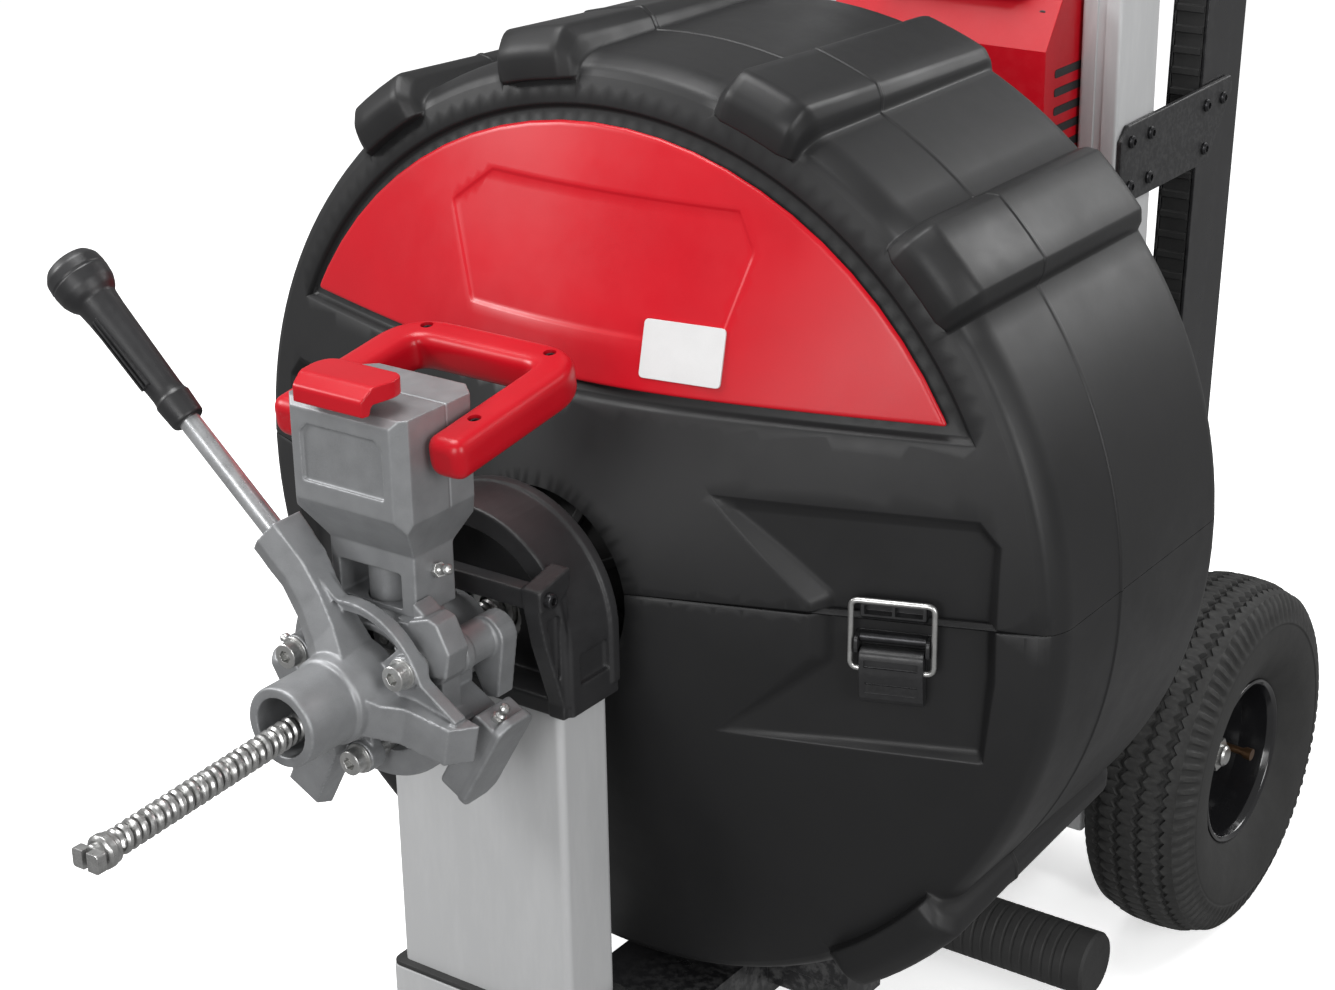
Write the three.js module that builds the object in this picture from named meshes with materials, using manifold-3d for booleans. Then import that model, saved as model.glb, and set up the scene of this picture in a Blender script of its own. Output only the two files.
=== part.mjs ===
// Drum-type drain snake machine: a cable drum in a two-part shell, an auto-feed head on a
// front post, and a wheeled rear mast with stair tracks.
// Millimetres, +Z up. The origin is the centre of the front foot's sole, on the floor;
// +Y points to the rear of the machine and the drain cable leaves along -Y.
import * as THREE from 'three';
import { mergeVertices } from 'three/addons/utils/BufferGeometryUtils.js';
import Module from 'manifold-3d';

const wasm = await Module();
wasm.setup();

// ---------------------------------------------------------------- driving dimensions
const GAP = 0.3;                  // clearance between pieces that touch
const AXIS_Z = 430;               // height of the drum and cable axis
const SPLIT_Z = 8;                // parting plane of the drum shell, above the axis

const CABLE_R = 7.95;             // 5/8 in drain cable
const CABLE_TIP_Y = -318;
const CABLE_TAIL_Y = 130;
const CABLE_BEND_Y = -92;         // from here on the free end hangs a little
const CABLE_DROOP = 0.058;        // its downward slope

const POST_W = 130;               // front post, a rectangular extrusion
const POST_D = 45;
const POST_TOP = 389;
const SLEEVE_TOP = 181;

const CONE_Y0 = 22.2;             // shell front: a cone, y = CONE_Y0 + CONE_SLOPE * r
const CONE_SLOPE = 0.363;
const NOSE_R = 62;
const SHELL_R = 298;
const SHELL_BACK = 392;
const BACK_R = 130;               // flat of the shell's back, behind its rear cone
const WALL = 5;
const LUGS = [                    // ribs on the shell's rim: angle and half width
  [43.5, 30], [69.5, 30], [100.5, 30], [125.5, 30], [-48, 50], [-132, 50]];
const PANEL_R = 263;              // red front panel: a segment of the cone
const PANEL_CHORD = 123;

const DRUM_R = 276;               // spinning inner drum
const DRUM_BACK = 330;
const DRUM_WALL = 4;
const DRUM_CONE = 26;             // how far the drum's cone lies behind the shell's

const ROLLER_ANGLES = { top: 90, right: -30, left: -150 };
const ROLLER_Y = -84;
const ROLLER_R = 10;
const STEM_R = 12.5;             // round stem of each roller carrier
const STEM_BORE = STEM_R + 0.8;  // the hole that a stem slides in
const GUIDE_R = STEM_R + 4.5;    // the round guide around that hole
const CLIP_HINGE = { y: -95, z: 171 };
const LEVER = { angle: 138.5, x: 16.4, y: -118, z: 18.6 };   // line of the lever, from the axis

const WHEEL_X = 196;
const WHEEL_Y = 589;
const TYRE_R = 135.5;
const UPRIGHT_X = 103;            // centre of each mast upright
const UPRIGHT_Y = 575;
const UPRIGHT_TOP = 1040;
const TRACK_X = 104;
const TRACK_LEAN = 3.3;           // degrees that the stair tracks lean back
const TRACK_LENGTH = 830;         // between pulley centres
const PULLEY_R = 29.5;
const FOOT_BAR = { y: 415, z: 40 };

const deg = Math.PI / 180;

// ---------------------------------------------------------------- materials
const finish = (color, roughness, metalness = 0) =>
  new THREE.MeshStandardMaterial({ color, roughness, metalness });
const shellBlack = finish(0x1b1b1c, 0.62);
const castBlack = finish(0x202022, 0.55, 0.2);
const frameBlack = finish(0x18181a, 0.45, 0.3);
const castGrey = finish(0x86898c, 0.5, 0.6);
const extrusionGrey = finish(0xc6c6c6, 0.42, 0.6);
const signalRed = finish(0xd51f33, 0.42);
const steel = finish(0xa9abad, 0.3, 0.9);
const springSteel = finish(0x7d7a78, 0.35, 0.9);
const rubber = finish(0x232323, 0.85);
const gripBlack = finish(0x1d1d1e, 0.7);
const drumBlack = finish(0x262628, 0.6);

// ---------------------------------------------------------------- solid modelling helpers
// Position-only, merged and free of zero-area triangles, with its faces pointing out.
function tidy(geometry) {
  const bare = geometry.index ? geometry.toNonIndexed() : geometry.clone();
  bare.deleteAttribute('normal');
  bare.deleteAttribute('uv');
  const merged = mergeVertices(bare, 1e-4);
  const index = merged.index.array;
  const position = merged.attributes.position;
  const kept = [];
  let volume = 0;
  const a = new THREE.Vector3();
  const b = new THREE.Vector3();
  const c = new THREE.Vector3();
  for (let i = 0; i < index.length; i += 3) {
    const [p, q, r] = [index[i], index[i + 1], index[i + 2]];
    if (p === q || q === r || r === p) continue;
    a.fromBufferAttribute(position, p);
    b.fromBufferAttribute(position, q);
    c.fromBufferAttribute(position, r);
    volume += a.dot(b.cross(c));
    kept.push(p, q, r);
  }
  if (volume < 0) {
    for (let i = 0; i < kept.length; i += 3) [kept[i], kept[i + 1]] = [kept[i + 1], kept[i]];
  }
  merged.setIndex(kept);
  return merged;
}

function toSolid(geometry) {
  const g = tidy(geometry);
  return new wasm.Manifold(new wasm.Mesh({
    numProp: 3,
    vertProperties: new Float32Array(g.attributes.position.array),
    triVerts: new Uint32Array(g.index.array),
  }));
}

function fromSolid(solid) {
  const mesh = solid.getMesh();
  const geometry = new THREE.BufferGeometry();
  geometry.setAttribute('position', new THREE.BufferAttribute(mesh.vertProperties, 3));
  geometry.setIndex(new THREE.BufferAttribute(mesh.triVerts, 1));
  geometry.computeVertexNormals();
  return geometry;
}

const join = (first, ...rest) =>
  fromSolid(rest.reduce((sum, g) => sum.add(toSolid(g)), toSolid(first)));
const cut = (first, ...tools) =>
  fromSolid(tools.reduce((sum, g) => sum.subtract(toSolid(g)), toSolid(first)));
const common = (first, ...rest) =>
  fromSolid(rest.reduce((sum, g) => sum.intersect(toSolid(g)), toSolid(first)));

const box = (x0, x1, y0, y1, z0, z1) =>
  new THREE.BoxGeometry(x1 - x0, y1 - y0, z1 - z0)
    .translate((x0 + x1) / 2, (y0 + y1) / 2, (z0 + z1) / 2);

// Round bars along each axis, from a to b, centred on the other two coordinates.
function barY(radius, a, b, x = 0, z = 0, sides = 32) {
  return new THREE.CylinderGeometry(radius, radius, b - a, sides).translate(x, (a + b) / 2, z);
}
function barX(radius, a, b, y = 0, z = 0, sides = 24) {
  return new THREE.CylinderGeometry(radius, radius, b - a, sides)
    .rotateZ(-90 * deg).translate((a + b) / 2, y, z);
}
function barZ(radius, a, b, x = 0, y = 0, sides = 24) {
  return new THREE.CylinderGeometry(radius, radius, b - a, sides)
    .rotateX(90 * deg).translate(x, y, (a + b) / 2);
}

const outline = (points) => new THREE.Shape(points.map(([u, v]) => new THREE.Vector2(u, v)));
const extrude = (points, depth) =>
  new THREE.ExtrudeGeometry(outline(points), { depth, bevelEnabled: false, curveSegments: 8 });
// Straight prisms: outline in XZ along Y, in YZ along X, in XY along Z.
const prismY = (points, y0, y1) => extrude(points, y1 - y0).rotateX(90 * deg).translate(0, y1, 0);
const prismX = (points, x0, x1) =>
  extrude(points, x1 - x0).applyMatrix4(new THREE.Matrix4().set(
    0, 0, 1, x0,
    1, 0, 0, 0,
    0, 1, 0, 0,
    0, 0, 0, 1));
const prismZ = (points, z0, z1) => extrude(points, z1 - z0).translate(0, 0, z0);

// A turned piece about the Y axis; the profile is [radius, y] pairs.
const turned = (profile, segments = 48) =>
  new THREE.LatheGeometry(profile.map(([r, y]) => new THREE.Vector2(r, y)), segments);
const turnedRing = (profile, segments) => turned([...profile, profile[0]], segments);

const mirrorX = (points) => points.map(([u, v]) => [-u, v]).reverse();
const aboutY = (geometry, degrees) => geometry.rotateY(-degrees * deg);

function circlePoints(radius, from, to, steps, cx = 0, cz = 0) {
  return Array.from({ length: steps + 1 }, (_, i) => {
    const angle = (from + (to - from) * i / steps) * deg;
    return [cx + radius * Math.cos(angle), cz + radius * Math.sin(angle)];
  });
}

// ---------------------------------------------------------------- scene graph
const machine = new THREE.Group();
const onAxis = new THREE.Group();          // pieces centred on the drum and cable axis
onAxis.position.z = AXIS_Z;
machine.add(onAxis);

function piece(parent, name, geometry, material) {
  const mesh = new THREE.Mesh(tidy(geometry), material);
  mesh.name = name;
  parent.add(mesh);
  return mesh;
}

// ---------------------------------------------------------------- front post and foot
function chamferedPlan(width, depth, chamfer) {
  const w = width / 2;
  const d = depth / 2;
  return [[-w, -d + chamfer], [-w + chamfer, -d], [w - chamfer, -d], [w, -d + chamfer],
    [w, d - chamfer], [w - chamfer, d], [-w + chamfer, d], [-w, d - chamfer]];
}

function buildPost() {
  const sleeve = cut(
    prismZ(chamferedPlan(POST_W + 12, POST_D + 12, 6), 12 + GAP, SLEEVE_TOP),
    prismZ(chamferedPlan(POST_W + 2 * GAP, POST_D + 2 * GAP, 5), 20, SLEEVE_TOP + 1));
  const post = cut(
    prismZ(chamferedPlan(POST_W, POST_D, 5), 60, POST_TOP),
    box(-POST_W / 2 + 4, POST_W / 2 - 4, -POST_D / 2 + 4, POST_D / 2 - 4, 59, POST_TOP + 1));
  piece(machine, 'front_foot_pad', prismZ(chamferedPlan(160, 80, 12), 0, 12), rubber);
  piece(machine, 'front_post_sleeve', sleeve, extrusionGrey);
  piece(machine, 'front_post', post, extrusionGrey);
}

// ---------------------------------------------------------------- bracket on the post
const BRACKET_BASE = POST_TOP + GAP - AXIS_Z;      // underside of the bracket, from the axis

function buildBracket() {
  const archOutside = [[74, BRACKET_BASE], ...circlePoints(74, 0, 180, 16), [-74, BRACKET_BASE]];
  const archInside = [[61, BRACKET_BASE - 1], ...circlePoints(61, 0, 180, 16), [-61, BRACKET_BASE - 1]];
  const webPlate = [[62, BRACKET_BASE], ...circlePoints(62, 0, 180, 12), [-62, BRACKET_BASE]];
  const arch = cut(prismY(archOutside, -22, 22), prismY(archInside, -23, 23));
  const web = cut(prismY(webPlate, 4, 18), barY(36.5, 3, 19));
  const base = prismZ(chamferedPlan(POST_W + 12, 52, 8), BRACKET_BASE, BRACKET_BASE + 12);
  const cheek = [[-22, BRACKET_BASE], [-22, 44], [-32, 48], [-44, 48], [-48, 10], [-26, BRACKET_BASE]];
  const cheeks = [-1, 1].map((side) => prismX(cheek, side * 66 - 6, side * 66 + 6));
  const crossBar = box(-62, 62, -44, -32, 34, 48);
  const body = cut(
    join(arch, web, base, ...cheeks, crossBar),
    barY(36.5, 3, 19),
    barY(30, -30, 5));
  piece(onAxis, 'post_bracket', body, castBlack);
  const bearing = turnedRing([[15.4, 4], [36.2, 4], [36.2, 18], [15.4, 18]], 24);
  piece(onAxis, 'front_bearing', bearing, steel);
}

// ---------------------------------------------------------------- feed head
const BARREL_ANGLES = [23, -97, 172];

function polar(radius, degrees) {
  return [radius * Math.cos(degrees * deg), radius * Math.sin(degrees * deg)];
}

function buildFeedBody() {
  const rim = barY(60, -102, -88, 0, 0, 36);
  const core = barY(40, -89, -66, 0, 0, 24);
  const neck = barY(26, -67, -30, 0, 0, 20);
  const barrels = BARREL_ANGLES.map((a) => {
    const [x, z] = polar(46, a);
    return barY(11.5, -103, -52, x, z, 12);
  });
  const guides = Object.values(ROLLER_ANGLES).map((a) =>
    aboutY(barX(GUIDE_R, 20, 58, ROLLER_Y, 0, 16), a));
  const ear = [[30, 32], [40, 37], [52, 35], [59, 26], [62, 4], [66, -22], [54, -22], [34, 4]];
  const ears = [prismY(ear, -62, -48 - GAP), prismY(mirrorX(ear), -62, -48 - GAP)];
  const stems = Object.values(ROLLER_ANGLES).map((a) =>
    aboutY(barX(STEM_BORE, 20, 70, ROLLER_Y, 0, 16), a));
  const body = cut(
    join(rim, core, neck, ...barrels, ...guides, ...ears),
    barY(30, -105, -67, 0, 0, 24),
    barY(18, -80, -20, 0, 0, 20),
    ...stems);
  piece(onAxis, 'feed_body', body, castGrey);
}

// The tower holds the pressure spring of the top roller; a clip on its roof releases it.
const TOWER = { half: 41.5, front: -118, back: -50, neckHalf: 30, neckFront: -99, neckBack: -66, roof: 160.5 };

function buildTower() {
  const { half, front: near, back: far, neckHalf, neckFront, neckBack, roof } = TOWER;
  const front = [[-neckHalf, 40], [neckHalf, 40], [neckHalf, 76], [half, 102], [half, roof],
    [-half, roof], [-half, 102], [-neckHalf, 76]];
  const side = [[neckFront, 40], [neckFront, 76], [near, 104], [near, roof - 4], [near + 4, roof],
    [far, roof], [far, 96], [neckBack, 74], [neckBack, 40]];
  const plan = [[-half, near + 7.5], [7 - half, near], [half - 7, near], [half, near + 7.5],
    [half, far - 10], [half - 11, far], [11 - half, far], [-half, far - 10]];
  const block = common(prismY(front, near, far), prismX(side, -half, half), prismZ(plan, 40, roof));
  const tower = cut(block,
    barY(60 + GAP, -108, -48, 0, 0, 48),
    barZ(STEM_BORE, 30, 150, 0, ROLLER_Y, 16),
    box(-24, 18, -108, -80, 40, 58));
  const hingeBlock = box(-10, 10, CLIP_HINGE.y - 9, CLIP_HINGE.y - 1, roof - 1, 167.7);
  piece(onAxis, 'feed_tower', join(tower, hingeBlock), castGrey);

  const clip = common(
    prismX([[-91, 178], [-118, 178], [-126, 172], [-126, 162.5], [-120.5, 162.5], [-119, 168], [-91, 168]],
      -28, 28),
    prismZ([[-24, -127], [24, -127], [28, -104], [26, -96], [17, -90], [-17, -90], [-26, -96], [-28, -104]],
      160, 180));
  piece(onAxis, 'release_clip', clip, signalRed);
}

function buildHandle() {
  const tilt = new THREE.Group();
  tilt.position.set(0, -95, 138);
  tilt.rotation.x = 8 * deg;
  onAxis.add(tilt);
  const inner = 42 + GAP;
  const outer = 67;
  const plan = [[inner, 0], [outer - 6, -6], [outer, 2], [outer, 104], [outer - 12, 116],
    [-outer + 12, 116], [-outer, 104], [-outer, 2], [-outer + 6, -6], [-inner, 0],
    [-inner, 84], [-inner + 8, 92], [inner - 8, 92], [inner, 84]];
  const section = [[-6, -7], [-1, -12], [111, -12], [116, -7], [116, 7], [111, 12], [-1, 12], [-6, 7]];
  const handle = common(prismZ(plan, -12, 12), prismX(section, -outer, outer));
  piece(tilt, 'carry_handle', handle, signalRed);
}

function buildRollers() {
  for (const [side, angle] of Object.entries(ROLLER_ANGLES)) {
    const holder = new THREE.Group();
    holder.rotation.y = -angle * deg;              // local +X is the roller's radial direction
    holder.position.y = ROLLER_Y;
    onAxis.add(holder);
    const cheeks = [-1, 1].map((s) => box(13, 32, s * 8.8 - 1.2, s * 8.8 + 1.2, -7, 7));
    const pinHole = barY(3.4, -12, 12, 18.6, 0, 10);
    const top = side === 'top';
    const stem = barX(STEM_R, 31, top ? 76 : 61.5, 0, 0, 16);
    const head = join(
      box(61, 77, -15, 15, -28, 28),
      prismX([[-15, -28], [-15, 28], [-9, 34], [9, 34], [15, 28], [15, -28], [9, -34], [-9, -34]],
        76.5, 81));
    const carrier = top ? join(stem, ...cheeks) : join(stem, ...cheeks, head);
    piece(holder, `${side}_roller_carrier`, cut(carrier, pinHole), castGrey);
    const roller = join(barY(ROLLER_R, -7.2, 7.2, 18.6, 0, 16), barY(3, -10, 10, 18.6, 0, 10));
    piece(holder, `${side}_roller`, roller, steel);
  }
}

const SPRING_TURNS = 4;

// A helical compression spring between the top carrier and the roof of the tower.
function buildPressureSpring() {
  class Helix extends THREE.Curve {
    getPoint(t, target = new THREE.Vector3()) {
      const turn = 2 * Math.PI * SPRING_TURNS * t;
      return target.set(9 * Math.cos(turn), 9 * Math.sin(turn), 79 + 66 * t);
    }
  }
  const wire = outline(circlePoints(1.8, 0, 288, 4));
  const spring = new THREE.ExtrudeGeometry(wire, { steps: SPRING_TURNS * 9, extrudePath: new Helix() });
  spring.translate(0, ROLLER_Y, 0);
  piece(onAxis, 'pressure_spring', spring, springSteel);
}

const alongLever = (geometry) => aboutY(geometry, LEVER.angle).translate(LEVER.x, 0, LEVER.z);

function buildYoke() {
  const arm = (angle, reach, width, yFront) =>
    aboutY(box(24, reach, yFront, -109, -width / 2, width / 2), angle);
  const leverArm = alongLever(prismZ([[6, -128], [44, -130], [88, -131], [92.7, -126], [92.7, -110],
    [88, -105], [56, -108], [46, -109], [6, -109]], -13, 13));
  const sector = [...circlePoints(52, -6, 150, 20), ...circlePoints(43, 150, -6, 16)];
  const ring = prismY(sector, -118, -112);
  const hub = turned([[0, -142], [23, -142], [32, -136], [33, -118], [30, -109], [0, -109]], 24);
  const nozzle = turned([[0, -178], [21.5, -178], [23, -176], [23, -141], [0, -141]], 24);
  const yoke = cut(
    join(ring, hub, nozzle, leverArm, arm(-8, 86, 26, -126), arm(-118, 90, 24, -126)),
    barY(17, -180, -100, 0, 0, 20),
    alongLever(barX(6.7, 66, 100, LEVER.y, 0, 12)));
  piece(onAxis, 'feed_yoke', yoke, castGrey);

  const lever = new THREE.Group();
  lever.rotation.y = -LEVER.angle * deg;
  lever.position.set(LEVER.x, LEVER.y, LEVER.z);
  onAxis.add(lever);
  piece(lever, 'lever_rod', barX(6.25, 66 + GAP, 170, 0, 0, 12), steel);
  // Grip and knob as one turned outline along the lever.
  const grip = turned([[0, 170 + GAP], [9.6, 170 + GAP], [10.4, 184], [10, 190], [12, 256],
    [15, 262], [17.5, 271], [17, 280], [10, 286], [0, 287]], 16).rotateZ(-90 * deg);
  piece(lever, 'lever_grip', grip, gripBlack);
}

// ---------------------------------------------------------------- cable and inner drum
// The working end: straight through the rollers, then hanging slightly out of the nozzle.
function buildCable() {
  const couplingY = CABLE_TIP_Y + 18;
  const droopAt = (y) => CABLE_DROOP * (y - CABLE_BEND_Y);
  const path = new THREE.CatmullRomCurve3([CABLE_TAIL_Y, 60, 0, -60, CABLE_BEND_Y, -110, -140,
    -200, -250, couplingY + GAP].map((y) => new THREE.Vector3(0, y, Math.min(0, droopAt(y)))));
  const section = outline(circlePoints(CABLE_R, 0, 330, 11));
  const cable = new THREE.ExtrudeGeometry(section, { steps: 20, extrudePath: path });
  const trimmed = common(cable, box(-20, 20, couplingY + GAP, CABLE_TAIL_Y, -40, 20));
  piece(onAxis, 'drain_cable', trimmed, springSteel);
  const coupling = cut(
    barY(9.5, CABLE_TIP_Y, couplingY, 0, 0, 14),
    box(-3.2, 3.2, CABLE_TIP_Y + 4, CABLE_TIP_Y + 9, -12, 12),
    box(-1.8, 1.8, CABLE_TIP_Y - 1, CABLE_TIP_Y + 5, -12, 12));
  piece(onAxis, 'cable_end_coupling', coupling.translate(0, 0, droopAt(CABLE_TIP_Y + 9)), steel);
}

function buildDrum() {
  const coneY = (r) => CONE_Y0 + CONE_SLOPE * r + DRUM_CONE;
  const inside = DRUM_R - DRUM_WALL;
  const profile = [[0, DRUM_BACK], [DRUM_R - 8, DRUM_BACK], [DRUM_R, DRUM_BACK - 8],
    [DRUM_R, 157], [DRUM_R - 8, coneY(DRUM_R - 8)], [15.6, coneY(15.6)],
    [15.6, coneY(15.6) + DRUM_WALL], [inside - 8, coneY(inside - 8) + DRUM_WALL + 0.5],
    [inside, 160], [inside, DRUM_BACK - 11], [inside - 7, DRUM_BACK - DRUM_WALL],
    [0, DRUM_BACK - DRUM_WALL]];
  piece(onAxis, 'cable_drum', turned(profile, 36), drumBlack);
  const coil = turnedRing([[254, 192], [261, 194], [269, 204], [269, 305],
    [261, 315], [254, 317]], 28);
  piece(onAxis, 'cable_coil', coil, springSteel);

  // Guide tube: straight on the axis, then an elbow that leads out to the coil.
  const path = new THREE.CurvePath();
  const elbow = new THREE.Vector3(0, 205, 0);
  path.add(new THREE.LineCurve3(new THREE.Vector3(0, 0, 0), elbow));
  path.add(new THREE.QuadraticBezierCurve3(elbow, new THREE.Vector3(0, 255, 0),
    new THREE.Vector3(60, 262, 0)));
  path.add(new THREE.LineCurve3(new THREE.Vector3(60, 262, 0), new THREE.Vector3(120, 269, 0)));
  const sweep = (radius) => {
    const section = outline(circlePoints(radius, 0, 330, 11));
    return new THREE.ExtrudeGeometry(section, { steps: 14, extrudePath: path });
  };
  const tube = cut(sweep(15), sweep(10.5), barY(10.5, -1, 10, 0, 0, 24),
    box(119.4, 140, 240, 300, -20, 20));
  piece(onAxis, 'drum_guide_tube', tube, steel);

  const shaft = turned([[0, DRUM_BACK + GAP], [60, DRUM_BACK + GAP], [60, DRUM_BACK + 6],
    [20, DRUM_BACK + 10], [14, DRUM_BACK + 64], [14, 596], [0, 596]], 20);
  piece(onAxis, 'drum_shaft', shaft, steel);
}

// ---------------------------------------------------------------- drum shell
const coneFront = (r) => CONE_Y0 + CONE_SLOPE * r;

function shellOutside() {
  return turned([[0, coneFront(0)], [286, coneFront(286)], [294, 132], [SHELL_R, 142],
    [SHELL_R, 336], [290, 348], [BACK_R, SHELL_BACK], [0, SHELL_BACK]], 48);
}
function shellInside() {
  const r = SHELL_R - WALL;
  return turned([[0, coneFront(0) + 5.3], [r - 8, coneFront(r - 8) + 5.3], [r, 144], [r, 333],
    [r - 8, 345], [BACK_R - 2, SHELL_BACK - WALL], [0, SHELL_BACK - WALL]], 48);
}
function lug([angle, half]) {
  const section = [[-half, 284], [half, 284], [half - 3, 307], [half - 9, 316], [9 - half, 316], [3 - half, 307]];
  const side = [[117, 284], [117, 303], [127, 316], [345, 307], [345, 284]];
  const block = common(prismY(section, 116, 346), prismX(side, -half, half));
  return block.rotateY((90 - angle) * deg);
}

// The latch recess is flat-floored and faces along the cone's normal at mid height.
const LATCH = { x: 210, y: 98.5, z: -4, turn: 20 };
const LATCH_HINGE = { y: 2, z: -6 };
const BAIL = { y: -1, root: -18, top: 24, half: 24, wire: 1.7 };
function latchFrame(geometry, side) {
  return geometry.rotateZ(side * LATCH.turn * deg).translate(side * LATCH.x, LATCH.y, LATCH.z);
}
function recess(side, grow, y0, y1) {
  const right = [[-112 - grow, 76 + grow], [44 + grow, 76 + grow], [57 + grow, 62], [57 + grow, -20],
    [50 + grow, -74 - grow], [-112 - grow, -74 - grow], [-50 - grow, -16], [-50 - grow, 18]];
  return latchFrame(prismY(side > 0 ? right : mirrorX(right), y0, y1), side);
}

function buildShell() {
  const sides = [1, -1];
  const bosses = sides.map((s) => recess(s, 6, -20, 14));
  const hollow = cut(shellInside(), ...bosses);
  const whole = cut(
    join(shellOutside(), ...LUGS.map(lug)),
    hollow,
    barY(NOSE_R, 0, 60, 0, 0, 32),
    barY(70, 370, 400, 0, 0, 28),
    ...sides.map((s) => recess(s, 0, -40, 9)));
  const big = 400;
  const upper = common(whole, box(-big, big, 0, big, SPLIT_Z + GAP / 2, big));
  const lower = common(whole, box(-big, big, 0, big, -big, SPLIT_Z - GAP / 2));
  const keepers = sides.map((s) => latchFrame(box(-19, 19, 3, 10, 13, 21.5), s));
  const ears = sides.flatMap((s) => [-1, 1].map((e) => latchFrame(
    cut(box(e * 20.6 - 1.1, e * 20.6 + 1.1, -3, 10, -12, 0), barX(2.4, e * 20.6 - 2, e * 20.6 + 2,
      LATCH_HINGE.y, LATCH_HINGE.z, 10)), s)));
  piece(onAxis, 'enclosure_lower', join(lower, ...ears), shellBlack);
  piece(onAxis, 'enclosure_upper', join(upper, ...keepers), shellBlack);

  const slab = turnedRing([[90, coneFront(90) - GAP], [PANEL_R, coneFront(PANEL_R) - GAP],
    [PANEL_R, coneFront(PANEL_R) - 3.5], [90, coneFront(90) - 3.5]], 48);
  const panel = common(slab, box(-big, big, 0, big, PANEL_CHORD, big));
  piece(onAxis, 'front_panel', panel, signalRed);
}

// Draw latches: a lever on the lower half carries a bail that hooks over the upper half's keeper.
function buildLatches() {
  for (const [side, sign] of [['right', 1], ['left', -1]]) {
    const group = new THREE.Group();
    group.rotation.z = sign * LATCH.turn * deg;
    group.position.set(sign * LATCH.x, LATCH.y, LATCH.z);
    onAxis.add(group);
    const plate = prismX([[8.3, -39], [8.3, -6], [5.5, -1], [1, -0.5], [-4, -3], [-5, -8], [-5, -20],
      [-2, -36], [2, -41], [7, -41]], -19, 19);
    const lever = join(plate, barX(2, -21.6, 21.6, LATCH_HINGE.y, LATCH_HINGE.z, 10));
    const bore = barX(BAIL.wire + 0.5, -22, 22, BAIL.y, BAIL.root, 10);
    piece(group, `latch_${side}_lever`, cut(lever, bore), gripBlack);
    // Wire bail: a closed loop of round wire whose lower bar runs through the lever.
    const { half, root, top } = BAIL;
    const corners = [[-half, root], [half, root], [half, top], [-half, top]];
    const wire = corners.map(([x, z], i) => {
      const [x2, z2] = corners[(i + 1) % 4];
      const length = Math.hypot(x2 - x, z2 - z) + 2 * BAIL.wire;
      const bar = new THREE.CylinderGeometry(BAIL.wire, BAIL.wire, length, 6);
      if (z === z2) bar.rotateZ(90 * deg);
      else bar.rotateX(90 * deg);
      return bar.translate((x + x2) / 2, BAIL.y, (z + z2) / 2);
    });
    piece(group, `latch_${side}_bail`, join(...wire), steel);
  }
}

// ---------------------------------------------------------------- base, wheels and foot bar
function buildBase() {
  const spine = cut(box(-42, 42, 29, 565, 60, 100), box(-38, 38, 36, 550, 59, 96));
  const frontPlate = box(-55, 55, 29, 36, 20, 160);
  const rearMember = cut(box(-87.7, 87.7, 556, 604, 62, 102), box(-84, 84, 560, 600, 61, 98));
  const cradleBar = box(-108, 108, 225, 265, 72, 98);
  const saddles = [-1, 1].map((s) => cut(
    box(s > 0 ? 52 : -108, s > 0 ? 108 : -52, 222, 268, 90, 152),
    barY(SHELL_R + 0.5, 180, 310, 0, AXIS_Z, 96)));
  const barClamps = [-30, 30].map((x) => box(x - 4, x + 4, FOOT_BAR.y - 26, FOOT_BAR.y + 26, 18, 97));
  const frame = cut(
    join(spine, frontPlate, rearMember, cradleBar, ...saddles, ...barClamps),
    barX(17.7, -60, 60, FOOT_BAR.y, FOOT_BAR.z, 16));
  piece(machine, 'base_frame', frame, frameBlack);

  const bar = join(
    barX(17, -196, 196, FOOT_BAR.y, FOOT_BAR.z, 16),
    barX(24, 60, 198, FOOT_BAR.y, FOOT_BAR.z, 20),
    barX(24, -198, -60, FOOT_BAR.y, FOOT_BAR.z, 20));
  piece(machine, 'foot_bar', bar, rubber);

  const axle = join(
    barX(8, -238, 238, WHEEL_Y, TYRE_R, 14),
    ...[-1, 1].map((s) => barX(12.5, Math.min(s * 118.4, s * 157.6), Math.max(s * 118.4, s * 157.6),
      WHEEL_Y, TYRE_R, 14)),
    ...[-1, 1].map((s) => barX(13, Math.min(s * 230.4, s * 238), Math.max(s * 230.4, s * 238),
      WHEEL_Y, TYRE_R, 6)));
  piece(machine, 'axle', axle, steel);
}

function buildWheels() {
  // The rim's section: hub tube, dished disc, well and two flanges.
  const rimSection = [[8.4, -38], [18, -38], [18, 3], [46, 6], [46, -29], [62, -29],
    [50, -24], [50, 24], [62, 29], [46, 29], [46, 10], [18, 9], [18, 34], [8.4, 34]];
  const tyreSection = [[50.6, -21], [64, -29.5], [86, -42], [112, -42], [130, -31],
    [TYRE_R, -15], [TYRE_R, 15], [130, 31], [112, 42], [86, 42], [64, 29.5], [50.6, 21]];
  for (const [side, sign] of [['right', 1], ['left', -1]]) {
    const wheel = new THREE.Group();
    wheel.position.set(sign * WHEEL_X, WHEEL_Y, TYRE_R);
    machine.add(wheel);
    const spin = (g) => g.rotateZ(-sign * 90 * deg);
    piece(wheel, `wheel_rim_${side}`, spin(turnedRing(rimSection, 24)), frameBlack);
    piece(wheel, `tyre_${side}`, spin(turnedRing(tyreSection, 36)), rubber);
  }
}

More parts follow.
